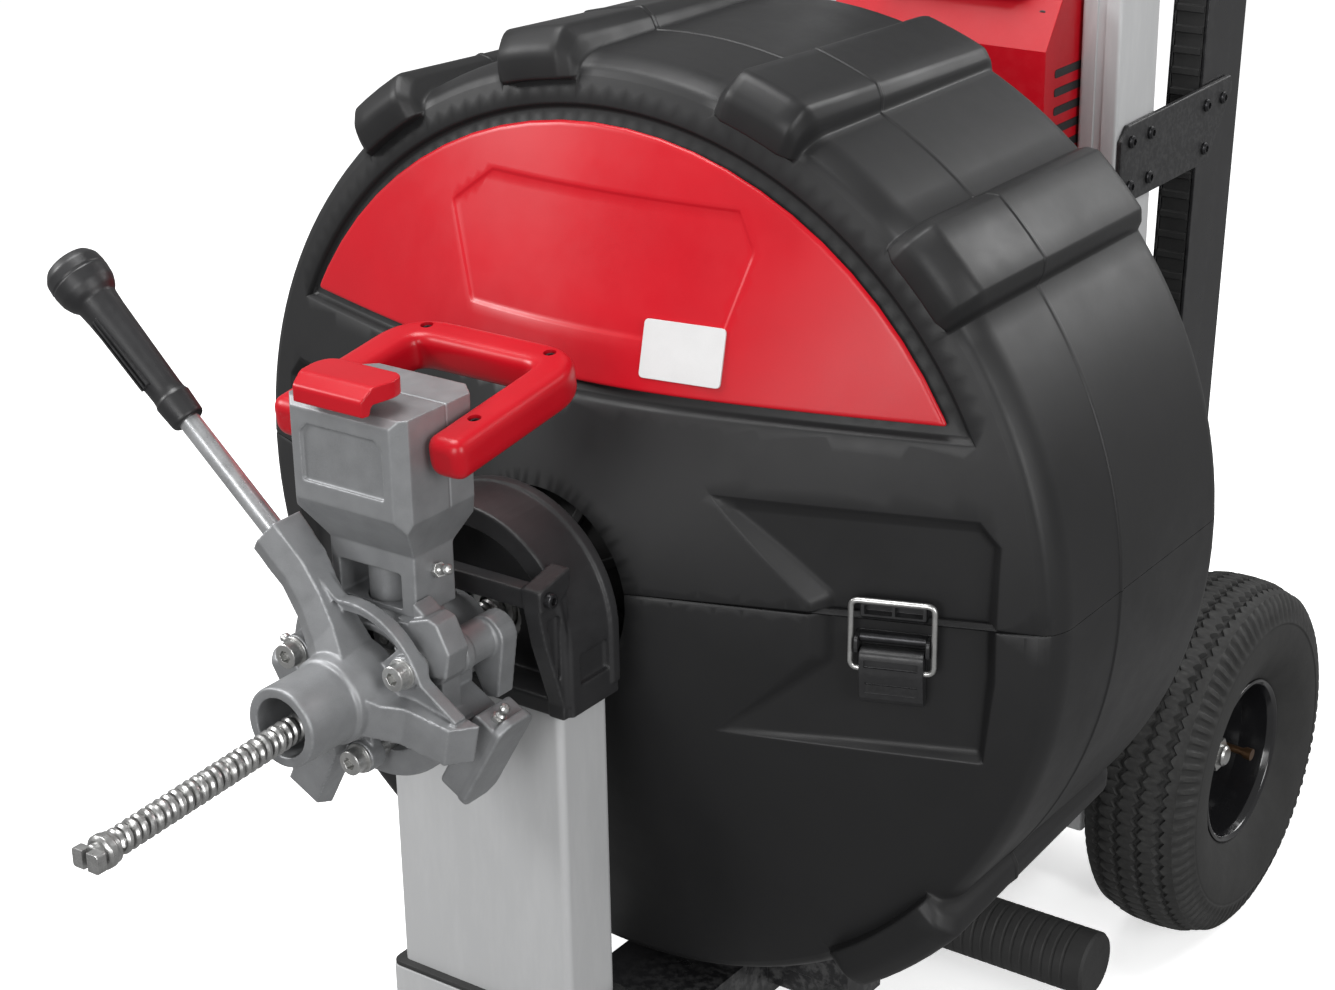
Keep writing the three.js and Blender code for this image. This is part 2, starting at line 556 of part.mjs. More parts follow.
// ---------------------------------------------------------------- rear mast
function buildUprights() {
  for (const [side, sign] of [['right', 1], ['left', -1]]) {
    const x = sign * UPRIGHT_X;
    const tube = cut(
      box(x - 15, x + 15, UPRIGHT_Y - 30, UPRIGHT_Y + 30, 62, UPRIGHT_TOP),
      box(x - 12, x + 12, UPRIGHT_Y - 27, UPRIGHT_Y + 27, 61, UPRIGHT_TOP + 1),
      barX(8.5, x - 20, x + 20, WHEEL_Y, TYRE_R, 14));
    piece(machine, `upright_${side}`, tube, extrusionGrey);
  }
  // The loop of the pull-out handle, a bent box tube that is open at the bottom of its legs.
  const loop = (inset, foot, halfDepth) => prismY([[-113 + inset, foot], [-93 - inset, foot],
    [-93 - inset, 1092], [-85, 1100 + inset], [85, 1100 + inset], [93 + inset, 1092], [93 + inset, foot],
    [113 - inset, foot], [113 - inset, 1108], [99, 1124 - inset], [-99, 1124 - inset],
    [-113 + inset, 1108]], UPRIGHT_Y - halfDepth, UPRIGHT_Y + halfDepth);
  piece(machine, 'telescopic_handle', cut(loop(0, 690, 22), loop(2.5, 689, 19.5)), frameBlack);
}

// Each stair track is a belt around two pulleys between the side plates of a rail.
function buildTracks() {
  const stadium = (radius, steps = 8) => [
    ...circlePoints(radius, 180, 360, steps),
    ...circlePoints(radius, 0, 180, steps, 0, TRACK_LENGTH)];
  const trackGroup = (x) => {
    const group = new THREE.Group();
    group.position.set(x, 688, 112);
    group.rotation.x = -TRACK_LEAN * deg;
    machine.add(group);
    return group;
  };
  for (const [side, sign] of [['right', 1], ['left', -1]]) {
    const group = trackGroup(sign * TRACK_X);
    const core = prismX([[-28.6, 34], [28.6, 34], [28.6, TRACK_LENGTH - 34], [-28.6, TRACK_LENGTH - 34]],
      -11.7, 11.7);
    const plates = [-1, 1].map((s) => prismX(stadium(33), s * 12.75 - 1.25, s * 12.75 + 1.25));
    const hollow = prismX([[-25, 30], [25, 30], [25, TRACK_LENGTH - 30], [-25, TRACK_LENGTH - 30]], -9, 9);
    const rail = cut(
      join(cut(core, hollow), ...plates),
      barX(8.6, -20, 20, 0, TRACK_LENGTH, 12),
      barX(6.5, -20, 20, 0, 0, 12));
    piece(group, `track_rail_${side}`, rail, frameBlack);
    const belt = cut(prismX(stadium(35, 10), -11, 11), prismX(stadium(PULLEY_R + 0.8, 10), -12, 12));
    piece(group, `track_belt_${side}`, belt, rubber);
    const idler = join(barX(PULLEY_R, -10, 10, 0, 0, 20), barX(6, -16, 16, 0, 0, 12));
    piece(group, `track_idler_${side}`, idler, steel);
  }
  const centre = trackGroup(0);
  const shaft = join(
    barX(8, -120, 120, 0, TRACK_LENGTH, 12),
    barX(PULLEY_R, TRACK_X - 10, TRACK_X + 10, 0, TRACK_LENGTH, 20),
    barX(PULLEY_R, -TRACK_X - 10, -TRACK_X + 10, 0, TRACK_LENGTH, 20));
  piece(centre, 'track_drive_shaft', shaft, steel);

  // Side plates that tie each upright to its track rail.
  for (const [side, sign] of [['right', 1], ['left', -1]]) {
    const inner = sign * (UPRIGHT_X + 15 + GAP);
    const plate = prismX([[546, 556], [546, 602], [556, 612], [724, 614], [728, 604], [690, 556]],
      Math.min(inner, inner + sign * 4), Math.max(inner, inner + sign * 4));
    piece(machine, `mast_bracket_${side}`, plate, castBlack);
  }
}

// ---------------------------------------------------------------- drive
const MOTOR_Z = 640;
const BELT_Y = [580, 594];

function buildDrive() {
  const crossPlate = box(-87.7, 87.7, 546, 560, AXIS_Z - 45, AXIS_Z + 45);
  const spindle = barY(32, 400, 550, 0, AXIS_Z, 24);
  const flange = barY(52, 536, 550, 0, AXIS_Z, 24);
  piece(machine, 'rear_bearing_block',
    cut(join(crossPlate, spindle, flange), barY(14.6, 360, 570, 0, AXIS_Z, 20)), castBlack);

  const [y0, y1] = BELT_Y;
  piece(onAxis, 'driven_pulley', turnedRing([[14.6, y0], [62, y0], [60, y0 + 2], [60, y1 - 2],
    [62, y1], [14.6, y1]], 24), castGrey);
  const top = MOTOR_Z - AXIS_Z;
  const loop = (grow) => {
    const lean = Math.asin((60 - 22) / top) / deg;
    return [...circlePoints(61 + grow, 180 - lean, 360 + lean, 16),
      ...circlePoints(23 + grow, lean, 180 - lean, 9, 0, top)];
  };
  const belt = cut(prismY(loop(4), y0 + 2.5, y1 - 2.5), prismY(loop(GAP), y0, y1));
  piece(onAxis, 'drive_belt', belt, rubber);

  piece(machine, 'motor_pulley', turnedRing([[5.4, y0], [24, y0], [22, y0 + 2], [22, y1 - 2],
    [24, y1], [5.4, y1]], 16).translate(0, 0, MOTOR_Z), steel);
  piece(machine, 'drive_motor', join(barY(46, 525, 572, 0, MOTOR_Z, 24), barY(5, 571, y1, 0, MOTOR_Z, 12)),
    steel);

  const housingSide = [[498, 566], [498, 670], [520, 702], [576.5, 702], [576.5, 566]];
  const housing = cut(
    prismX(housingSide, -86, 86),
    box(-81, 81, 504, 590, 571, 664),
    box(-81, 81, 522, 590, 660, 697),
    box(-79, -61, 526, 554, 694, 710));
  const battery = prismX([[508, 702 + GAP], [500, 716], [500, 822], [510, 832], [590, 832],
    [600, 822], [600, 716], [592, 702 + GAP]], -58, 58);
  piece(machine, 'motor_housing', housing, signalRed);
  piece(machine, 'battery', battery, gripBlack);
  piece(machine, 'power_switch', box(-77, -63, 529, 551, 698, 706), gripBlack);

  const guard = cut(
    box(-84, 84, 577, 612, 360, 700),
    box(-80, 80, 570, 608, 364, 696));
  piece(machine, 'belt_guard', guard, castBlack);
}

buildPost();
buildBracket();
buildFeedBody();
buildTower();
buildHandle();
buildRollers();
buildPressureSpring();
buildYoke();
buildCable();
buildDrum();
buildShell();
buildLatches();
buildBase();
buildWheels();
buildUprights();
buildTracks();
buildDrive();

export default machine;
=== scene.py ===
import math
from math import cos, hypot, pi, radians, sin

import bmesh
import bpy
from mathutils import Matrix, Vector, geometry


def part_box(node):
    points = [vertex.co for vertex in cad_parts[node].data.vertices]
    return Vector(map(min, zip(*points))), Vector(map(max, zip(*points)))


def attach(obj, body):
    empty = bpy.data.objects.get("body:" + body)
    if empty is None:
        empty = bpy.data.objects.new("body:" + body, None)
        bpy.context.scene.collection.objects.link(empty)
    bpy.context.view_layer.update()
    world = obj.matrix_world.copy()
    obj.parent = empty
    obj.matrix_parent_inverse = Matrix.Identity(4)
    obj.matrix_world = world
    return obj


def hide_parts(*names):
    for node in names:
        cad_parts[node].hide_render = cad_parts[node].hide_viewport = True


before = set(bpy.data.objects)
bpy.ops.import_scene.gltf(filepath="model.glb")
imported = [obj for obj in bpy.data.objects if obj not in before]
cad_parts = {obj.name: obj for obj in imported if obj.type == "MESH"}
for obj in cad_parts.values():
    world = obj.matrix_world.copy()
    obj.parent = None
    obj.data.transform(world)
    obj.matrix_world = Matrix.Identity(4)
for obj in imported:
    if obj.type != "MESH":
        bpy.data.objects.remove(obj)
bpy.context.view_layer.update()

# Shapes are modelled in millimetres, in a local frame, and set in place in metres.
MM = 0.001


def centre_of(node):
    low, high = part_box(node)
    return (low + high) / (2 * MM)


def corners_of(node):
    """The low and high corners of a CAD node's box, in millimetres."""
    low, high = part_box(node)
    return low / MM, high / MM


AXIS_Z = centre_of("cable_drum").z
MACHINE = Matrix.Diagonal((MM, MM, MM, 1))
ON_AXIS = MACHINE @ Matrix.Translation((0, 0, AXIS_Z))
SIDES = (("right", 1), ("left", -1))
BOTH = (1, -1)


# ------------------------------------------------------------------ camera, light and floor
# Angles in degrees, the place in metres, the lens and its sensor in millimetres.
CAMERA = {"azimuth": 35.75, "elevation": 22.38, "roll": -0.971, "place": (0.8838, -1.0524, 1.0643),
    "lens": 70.27, "sensor": 36}
# Each light's name, place in metres, side in metres and watts. All aim at AIM.
LIGHTS = (
    ("top_softbox", (-0.6, -0.1, 2.8), 1.3, 56),
    ("key_left", (-2.2, -1.3, 1.9), 0.8, 50),
    ("front_fill", (0.9, -3.0, 1.3), 1.5, 52),
    ("fill_right", (2.7, -0.6, 1.3), 1.3, 40),
    ("rim_rear", (1.4, 2.7, 1.9), 1.3, 44),
)
AIM = (0, 0.25, 0.5)
WORLD_STRENGTH, FLOOR_GLOW, FLOOR_HALF = 0.3, 0.55, 12


def make_camera():
    azimuth, elevation, roll = (radians(CAMERA[key]) for key in ("azimuth", "elevation", "roll"))
    back = Vector((sin(azimuth) * cos(elevation), -cos(azimuth) * cos(elevation), sin(elevation)))
    level = Vector((cos(azimuth), sin(azimuth), 0))
    above = back.cross(level)
    right = cos(roll) * level + sin(roll) * above
    up = cos(roll) * above - sin(roll) * level
    data = bpy.data.cameras.new("camera")
    data.lens, data.sensor_width = CAMERA["lens"], CAMERA["sensor"]
    camera = bpy.data.objects.new("camera", data)
    turn = Matrix((right, up, back)).transposed().to_4x4()
    camera.matrix_world = Matrix.Translation(CAMERA["place"]) @ turn
    bpy.context.collection.objects.link(camera)
    bpy.context.scene.camera = camera


def area_light(name, place, size, watts):
    data = bpy.data.lights.new(name, "AREA")
    data.shape, data.size, data.energy = "SQUARE", size, watts
    light = bpy.data.objects.new(name, data)
    aim = Vector(AIM) - Vector(place)
    light.matrix_world = Matrix.Translation(place) @ aim.to_track_quat("-Z", "Y").to_matrix().to_4x4()
    bpy.context.collection.objects.link(light)


def make_studio():
    for light in LIGHTS:
        area_light(*light)
    world = bpy.data.worlds.new("studio")
    world.use_nodes = True
    fill(world.node_tree.nodes["Background"], {"Color": (1, 1, 1, 1), "Strength": WORLD_STRENGTH})
    bpy.context.scene.world = world
    bpy.context.scene.view_settings.view_transform = "Standard"
    shape = bmesh.new()
    bmesh.ops.create_grid(shape, x_segments=2, y_segments=2, size=FLOOR_HALF)
    floor = new_object("floor", shape)
    paper = finish("floor_paper", (0.95, 0.95, 0.95), 0.9, grain=0.004, mottle=0.005, glow=FLOOR_GLOW)
    floor.data.materials.append(paper)
    floor.visible_diffuse, floor.visible_glossy = False, False


# ------------------------------------------------------------------ materials
# A mix node's colour sockets have the same names as its number sockets, so they go by index.
MIX_A, MIX_B, MIX_RESULT = 6, 7, 2


def fill(node, values):
    for key, value in values.items():
        node.inputs[key].default_value = value


def finish(name, color, roughness, metallic=0.0, grain=0.1, grain_size=0.6, mottle=0.12, blotch=30,
        stretch=(1, 1, 1), wear=0.0, wear_color=(0.5, 0.5, 0.5), coat=0.0, specular=0.5, glow=0.0):
    """A procedural surface: fine bump grain, uneven colour and roughness, and worn edges.
    grain is the bump's height and grain_size its scale, both in mm; blotch is in mm too."""
    material = bpy.data.materials.new(name)
    material.use_nodes = True
    nodes, links = material.node_tree.nodes, material.node_tree.links
    shader = nodes["Principled BSDF"]
    fill(shader, {"Metallic": metallic, "Coat Weight": coat, "Coat Roughness": 0.15,
        "Specular IOR Level": specular, "Emission Color": (1, 1, 1, 1), "Emission Strength": glow})
    place = nodes.new("ShaderNodeTexCoord")
    mapping = nodes.new("ShaderNodeMapping")
    fill(mapping, {"Scale": stretch})
    links.new(place.outputs["Object"], mapping.inputs["Vector"])

    def noise(size_mm, detail, rough=0.5):
        texture = nodes.new("ShaderNodeTexNoise")
        fill(texture, {"Scale": 1 / (size_mm * MM), "Detail": detail, "Roughness": rough})
        links.new(mapping.outputs["Vector"], texture.inputs["Vector"])
        return texture.outputs["Fac"]

    def remap(value, low, high, start=0.3, end=0.7):
        node = nodes.new("ShaderNodeMapRange")
        fill(node, {"From Min": start, "From Max": end, "To Min": low, "To Max": high})
        links.new(value, node.inputs["Value"])
        return node.outputs["Result"]

    def mix_colors(factor, first, second):
        node = nodes.new("ShaderNodeMix")
        node.data_type = "RGBA"
        links.new(factor, node.inputs["Factor"])
        for socket, value in ((MIX_A, first), (MIX_B, second)):
            if isinstance(value, tuple):
                node.inputs[socket].default_value = (*value, 1)
            else:
                links.new(value, node.inputs[socket])
        return node.outputs[MIX_RESULT]

    def shade(amount):
        return tuple(min(1.0, channel * amount) for channel in color)

    broad = noise(blotch, 4)
    fine = noise(grain_size, 2, 0.6)
    tone = mix_colors(remap(broad, 0, 1), shade(1 - mottle), shade(1 + mottle))
    speck = mix_colors(remap(fine, 0, 0.5), tone, shade(1 + 1.5 * mottle))
    if wear:
        edges = nodes.new("ShaderNodeNewGeometry")
        scuffs = nodes.new("ShaderNodeMath")
        scuffs.operation = "MULTIPLY"
        links.new(remap(edges.outputs["Pointiness"], 0, wear, 0.515, 0.6), scuffs.inputs[0])
        links.new(remap(noise(blotch / 6, 5, 0.7), 0, 1, 0.45, 0.6), scuffs.inputs[1])
        speck = mix_colors(scuffs.outputs[0], speck, wear_color)
    links.new(speck, shader.inputs["Base Color"])
    patchy = noise(blotch * 0.6, 6, 0.65)
    links.new(remap(patchy, roughness * 0.86, min(1.0, roughness * 1.14)), shader.inputs["Roughness"])
    bump = nodes.new("ShaderNodeBump")
    fill(bump, {"Strength": 0.6, "Distance": grain * MM})
    links.new(fine, bump.inputs["Height"])
    links.new(bump.outputs["Normal"], shader.inputs["Normal"])
    return material


SHELL = finish("shell_plastic", (0.0115, 0.0115, 0.012), 0.46, grain=0.05, grain_size=0.7, mottle=0.12,
    blotch=90, wear=0.25, wear_color=(0.05, 0.05, 0.05), specular=0.32)
RED = finish("red_plastic", (0.42, 0.003, 0.010), 0.32, grain=0.03, grain_size=0.8, mottle=0.06, blotch=60,
    wear=0.2, wear_color=(0.5, 0.03, 0.04), specular=0.34)
CASTING = finish("grey_casting", (0.245, 0.25, 0.257), 0.46, metallic=0.5, grain=0.12, grain_size=0.5,
    mottle=0.12, blotch=14, wear=0.85, wear_color=(0.5, 0.51, 0.52))
BLACK_CAST = finish("black_powder_coat", (0.017, 0.017, 0.018), 0.48, grain=0.12, grain_size=0.9, mottle=0.2,
    blotch=20, wear=0.5, wear_color=(0.12, 0.12, 0.12), specular=0.4)
PAINT = finish("black_paint", (0.012, 0.012, 0.013), 0.3, grain=0.02, grain_size=1.5, mottle=0.15, blotch=40,
    wear=0.3, wear_color=(0.16, 0.16, 0.16))
GLOSS = finish("gloss_rim_paint", (0.010, 0.010, 0.011), 0.16, grain=0.01, grain_size=2, mottle=0.1,
    blotch=30, coat=0.5)
EXTRUSION = finish("drawn_aluminium", (0.49, 0.495, 0.50), 0.5, metallic=0.25, grain=0.012, grain_size=0.5,
    mottle=0.012, blotch=90, stretch=(1, 1, 0.2), wear=0.3, wear_color=(0.7, 0.7, 0.7))
STEEL = finish("zinc_steel", (0.47, 0.47, 0.46), 0.33, metallic=0.9, grain=0.02, grain_size=0.7, mottle=0.12,
    blotch=9, wear=0.4, wear_color=(0.8, 0.8, 0.8))
ROD = finish("zinc_rod", (0.56, 0.57, 0.58), 0.3, metallic=0.85, grain=0.03, grain_size=1.2, mottle=0.2,
    blotch=12)
SPRING = finish("oiled_spring_wire", (0.36, 0.36, 0.355), 0.3, metallic=0.85, grain=0.02, grain_size=0.5,
    mottle=0.25, blotch=5, wear=0.6, wear_color=(0.62, 0.62, 0.61))
RUBBER = finish("moulded_rubber", (0.018, 0.018, 0.018), 0.72, grain=0.08, grain_size=0.8, mottle=0.2,
    blotch=18)
TYRE = finish("tyre_rubber", (0.017, 0.017, 0.0166), 0.74, grain=0.1, grain_size=0.7, mottle=0.22, blotch=25,
    wear=0.5, wear_color=(0.09, 0.09, 0.085))
GRIP = finish("grained_black_plastic", (0.013, 0.013, 0.014), 0.42, grain=0.08, grain_size=0.8, mottle=0.15,
    blotch=16, wear=0.35, wear_color=(0.06, 0.06, 0.06))
DRUM = finish("drum_plastic", (0.018, 0.018, 0.018), 0.5, grain=0.05, grain_size=1.0, mottle=0.2, blotch=40)
BRASS = finish("valve_brass", (0.10, 0.055, 0.028), 0.4, metallic=0.8, grain=0.02, grain_size=0.5,
    mottle=0.3, blotch=6)
DARK = finish("dark_screw", (0.03, 0.03, 0.032), 0.35, metallic=0.7, grain=0.02, grain_size=0.4, mottle=0.3,
    blotch=5)
BADGE = finish("blank_badge", (0.55, 0.55, 0.55), 0.34, grain=0.01, grain_size=0.6, mottle=0.04, blotch=15)


# ------------------------------------------------------------------ mesh helpers
def new_object(name, shape):
    mesh = bpy.data.meshes.new(name)
    shape.to_mesh(mesh)
    shape.free()
    made = bpy.data.objects.new(name, mesh)
    bpy.context.collection.objects.link(made)
    return made


def discard(obj):
    mesh = obj.data
    bpy.data.objects.remove(obj)
    bpy.data.meshes.remove(mesh)


def taken(obj):
    """The object's mesh as a free shape; the object itself goes."""
    made = bmesh.new()
    made.from_mesh(obj.data)
    discard(obj)
    return made


def apply_modifiers(obj):
    graph = bpy.context.evaluated_depsgraph_get()
    made = bpy.data.meshes.new_from_object(obj.evaluated_get(graph))
    old = obj.data
    obj.modifiers.clear()
    obj.data = made
    bpy.data.meshes.remove(old)


def outward(shape):
    bmesh.ops.recalc_face_normals(shape, faces=shape.faces)
    return shape


def skin(loops, closed=False, caps=True):
    """Joins equally long closed loops of points into one surface."""
    shape = bmesh.new()
    rings = [[shape.verts.new(p) for p in loop] for loop in loops]
    following = rings[1:] + (rings[:1] if closed else [])
    for near, far in zip(rings, following):
        for i in range(len(near)):
            j = (i + 1) % len(near)
            shape.faces.new((near[i], near[j], far[j], far[i]))
    if caps and not closed:
        shape.faces.new(rings[0])
        shape.faces.new(rings[-1])
    return outward(shape)


def fillet(points, radius, steps=4, closed=True):
    """Rounds the corners of an outline; radius is one number or one for each corner."""
    radii = radius if isinstance(radius, (list, tuple)) else [radius] * len(points)
    made = []
    count = len(points)
    for i, corner in enumerate(points):
        if not closed and i in (0, count - 1):
            made.append(tuple(corner))
            continue
        here = Vector(corner)
        before, after = Vector(points[i - 1]) - here, Vector(points[(i + 1) % count]) - here
        reach = min(radii[i], 0.48 * before.length, 0.48 * after.length)
        if reach < 0.01:
            made.append(tuple(corner))
            continue
        start, end = here + before.normalized() * reach, here + after.normalized() * reach
        for step in range(steps + 1):
            t = step / steps
            made.append(tuple((1 - t) ** 2 * start + 2 * t * (1 - t) * here + t * t * end))
    return made


def about_y(degrees):
    return Matrix.Rotation(-radians(degrees), 4, "Y")


def polar(radius, degrees):
    return radius * cos(radians(degrees)), radius * sin(radians(degrees))


def arc(radius, start, end, steps, centre=(0, 0)):
    return [(centre[0] + radius * cos(radians(start + (end - start) * i / steps)),
        centre[1] + radius * sin(radians(start + (end - start) * i / steps))) for i in range(steps + 1)]


def circle(radius, count):
    return arc(radius, 0, 360, count)[:-1]


def rect(x0, x1, y0, y1):
    return [(x0, y0), (x1, y0), (x1, y1), (x0, y1)]


def mirrored(half):
    """A closed outline from its right-hand half, which runs from the bottom to the top."""
    return [(-half[0][0], half[0][1]), *half, *[(-x, y) for x, y in reversed(half[1:])]]


def divided(line, spacing, least=1, closed=True):
    """The line with points added, so that they stand about one spacing apart."""
    made = []
    for a, b in zip(line, line[1:] + (line[:1] if closed else [])):
        count = max(least, int(hypot(b[0] - a[0], b[1] - a[1]) / spacing))
        made += [(a[0] + (b[0] - a[0]) * i / count, a[1] + (b[1] - a[1]) * i / count) for i in range(count)]
    return made if closed else [*made, line[-1]]


def area_of(points):
    return sum(a[0] * b[1] - b[0] * a[1] for a, b in zip(points, points[1:] + points[:1])) / 2


def inset(points, distance):
    """The outline moved inwards by distance, with mitred corners."""
    turn = 1 if area_of(points) > 0 else -1
    made = []
    count = len(points)
    for i, corner in enumerate(points):
        here = Vector(corner)
        first = (here - Vector(points[i - 1])).normalized()
        second = (Vector(points[(i + 1) % count]) - here).normalized()
        normals = [Vector((-d.y, d.x)) * turn for d in (first, second)]
        middle = normals[0] + normals[1]
        middle.normalize()
        share = max(0.35, middle.dot(normals[0]))
        made.append(tuple(here + middle * distance / share))
    return made


AXES = {
    "x": lambda u, v, t: (t, u, v),
    "y": lambda u, v, t: (u, t, v),
    "z": lambda u, v, t: (u, v, t),
}


def prism(outline, low, high, axis="y", edge=0.0, steps=2):
    """A straight prism along an axis, with its end edges rounded by edge."""
    place = AXES[axis]
    ends = [(0.0, 0.0)]
    if edge:
        angles = [pi / 2 * i / steps for i in range(steps + 1)]
        ends = [(edge * (1 - sin(a)), edge * (1 - cos(a))) for a in angles]
    levels = [(low + rise, pull) for pull, rise in ends]
    levels += [(high - rise, pull) for pull, rise in reversed(ends)]
    loops = []
    for level, pull in levels:
        flat = inset(outline, pull) if pull else outline
        loops.append([place(u, v, level) for u, v in flat])
    return skin(loops)


def block(x0, x1, y0, y1, z0, z1, edge=1.0, corner=1.5):
    return prism(fillet(rect(x0, x1, z0, z1), corner, 3), y0, y1, "y", edge)


def lathe(profile, segments=72, axis="y", centre=(0, 0)):
    """A turned solid; the profile is (radius, position along the axis)."""
    place = AXES[axis]
    loops = []
    for i in range(segments):
        angle = 2 * pi * i / segments
        loops.append([place(centre[0] + r * cos(angle), centre[1] + r * sin(angle), t) for r, t in profile])
    shape = skin(loops, closed=True)
    bmesh.ops.remove_doubles(shape, verts=shape.verts, dist=1e-4)
    return outward(shape)


def rod(radius, low, high, axis="y", centre=(0, 0), edge=0.6, segments=32):
    profile = [(0, low), (radius - edge, low), (radius, low + edge), (radius, high - edge),
        (radius - edge, high), (0, high)]
    return lathe(profile, segments, axis, centre)


def tube(path, radius, sides=12, closed=False):
    """A round bar along a path, with frames carried from point to point."""
    points = [Vector(p) for p in path]
    count = len(points)
    loops = []
    across = None
    for i, point in enumerate(points):
        ahead = points[(i + 1) % count] if closed or i < count - 1 else point
        behind = points[i - 1] if closed or i else point
        along = (ahead - behind).normalized()
        if across is None:
            across = along.orthogonal().normalized()
        across = (across - along * across.dot(along)).normalized()
        other = along.cross(across)
        loops.append([point + radius * (cos(a) * across + sin(a) * other)
            for a in (2 * pi * k / sides for k in range(sides))])
    return skin(loops, closed)


def moved(shape, matrix):
    shape.transform(matrix)
    return shape


def merge(*shapes):
    made = bmesh.new()
    for shape in shapes:
        mesh = bpy.data.meshes.new("part")
        shape.to_mesh(mesh)
        shape.free()
        made.from_mesh(mesh)
        bpy.data.meshes.remove(mesh)
    return made


def combined(shape, tool, operation):
    base, cutter = new_object("base", shape), new_object("cutter", tool)
    modifier = base.modifiers.new("combine", "BOOLEAN")
    modifier.object, modifier.operation = cutter, operation
    modifier.solver, modifier.use_self = "EXACT", True
    apply_modifiers(base)
    discard(cutter)
    return taken(base)


def cut(shape, *tools):
    return combined(shape, merge(*tools), "DIFFERENCE")


def common(shape, *tools):
    for tool in tools:
        shape = combined(shape, tool, "INTERSECT")
    return shape


def cast(shape, voxel=1.0, rounds=3, most=40000):
    """A casting's soft edges and fillets: remeshed finely, smoothed and thinned again."""
    obj = new_object("casting", shape)
    remesh = obj.modifiers.new("remesh", "REMESH")
    remesh.mode, remesh.voxel_size = "VOXEL", voxel
    smooth = obj.modifiers.new("smooth", "SMOOTH")
    smooth.factor, smooth.iterations = 0.5, rounds
    apply_modifiers(obj)
    faces = 2 * len(obj.data.polygons)
    if faces > most:
        thin = obj.modifiers.new("thin", "DECIMATE")
        thin.ratio = most / faces
        apply_modifiers(obj)
    return taken(obj)


def piece(name, shape, place, body, slot, material, nodes=(), sharp=32, weighted=True):
    """Sets a shape in place in metres, gives it its finish and its body, and hides the CAD nodes that it
    stands in for.
    """
    obj = new_object(name, moved(shape, place))
    mesh = obj.data
    mesh.shade_smooth()
    mesh.set_sharp_from_angle(angle=radians(sharp))
    mesh.materials.append(material)
    if weighted:
        modifier = obj.modifiers.new("even_shading", "WEIGHTED_NORMAL")
        modifier.keep_sharp = True
    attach(obj, body)
    if nodes:
        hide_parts(*nodes)
    return obj


# ------------------------------------------------------------------ fasteners
def hex_loop(radius, count=24):
    points = []
    for i in range(count):
        angle = 2 * pi * i / count
        flat = (angle % (pi / 3)) - pi / 6
        reach = radius * cos(pi / 6) / cos(flat)
        points.append((reach * cos(angle), reach * sin(angle)))
    return points


def socket_screw(head, height, hexagon, washer=0.0, dome=0.0):
    """A socket-head screw that stands on Z = 0 and points up, with a washer if it has one."""
    count = 24
    levels = [(circle(head, count), 0), (circle(head, count), height - 0.6 - dome),
        (circle(head - 0.4, count), height - 0.2 - dome), (circle(head * 0.8, count), height - 0.2 * dome),
        (hex_loop(hexagon + 0.2, count), height), (hex_loop(hexagon, count), height - 0.3),
        (hex_loop(hexagon, count), height * 0.45)]
    shapes = [skin([[(x, y, z) for x, y in loop] for loop, z in levels])]
    if washer:
        shapes.append(lathe([(0, -0.2), (washer, -0.2), (washer, 1.1), (washer - 0.3, 1.4), (0, 1.4)],
            32, "z"))
        shapes[0].transform(Matrix.Translation((0, 0, 1.3)))
    return merge(*shapes)


def nipple():
    """A grease nipple that stands on Z = 0."""
    hexagon = prism(hex_loop(4.6), 0, 4, "z", 0.5)
    stem = lathe([(0, 3.5), (3.0, 3.5), (3.0, 5.5), (1.9, 6.6), (1.9, 8.6), (3.1, 10), (3.1, 11.2),
        (2.2, 12.6), (0.8, 13), (0, 12.4)], 24, "z")
    return merge(hexagon, stem)


def aimed(at, direction):
    """Places a fastener at a point, with its Z axis along direction."""
    turn = Vector(direction).to_track_quat("Z", "Y").to_matrix().to_4x4()
    return Matrix.Translation(at) @ turn


# ------------------------------------------------------------------ drum shell
CONE_START, CONE_SLOPE = 22.2, 0.363
NOSE_R, FRONT_R, LUG_R = 62, 284, 300
SHELL_WALL, PANEL_WALL = 4.6, 2.0
# The split between the halves, and the width and depth of the groove on each side of it.
SPLIT_Z, SEAM_WIDTH, SEAM_DEPTH = 8, 1.6, 0.9
# Each lug's middle in degrees and half its width in millimetres.
LUGS = ((43.5, 30), (69.5, 30), (100.5, 30), (125.5, 30), (-48, 50), (-132, 50))
PANEL_R, PANEL_CHORD = 263, 123
# The sunk rebate round the front panel.
GROOVE = {"radius": 271.5, "chord": 114, "depth": 5.0, "wall": 4.6}
LATCH = {"x": 210, "y": 98.5, "z": -4, "turn": radians(20)}
# The recess round a latch: how far its floor lies behind the latch, and its edge about the latch.
RECESS_FLOOR = 9
RECESS = ((-112, 76), (44, 76), (57, 62), (57, -20), (50, -74), (-112, -74), (-50, -16), (-50, 18))
RECESS_SLOPE = 1.1


def cone(radius):
    return CONE_START + CONE_SLOPE * radius


def soft_step(t):
    t = max(0.0, min(1.0, t))
    return t * t * (3 - 2 * t)


# The recess's edge on the right-hand half of the cone, seen along Y.
RECESS_EDGE = [(LATCH["x"] + u * cos(LATCH["turn"]) + 1.5, w + LATCH["z"]) for u, w in RECESS]


def groove_inside(radius, z):
    """Distance to the edge of the panel's rebate, above zero inside it."""
    return min(GROOVE["radius"] - radius, z - GROOVE["chord"])


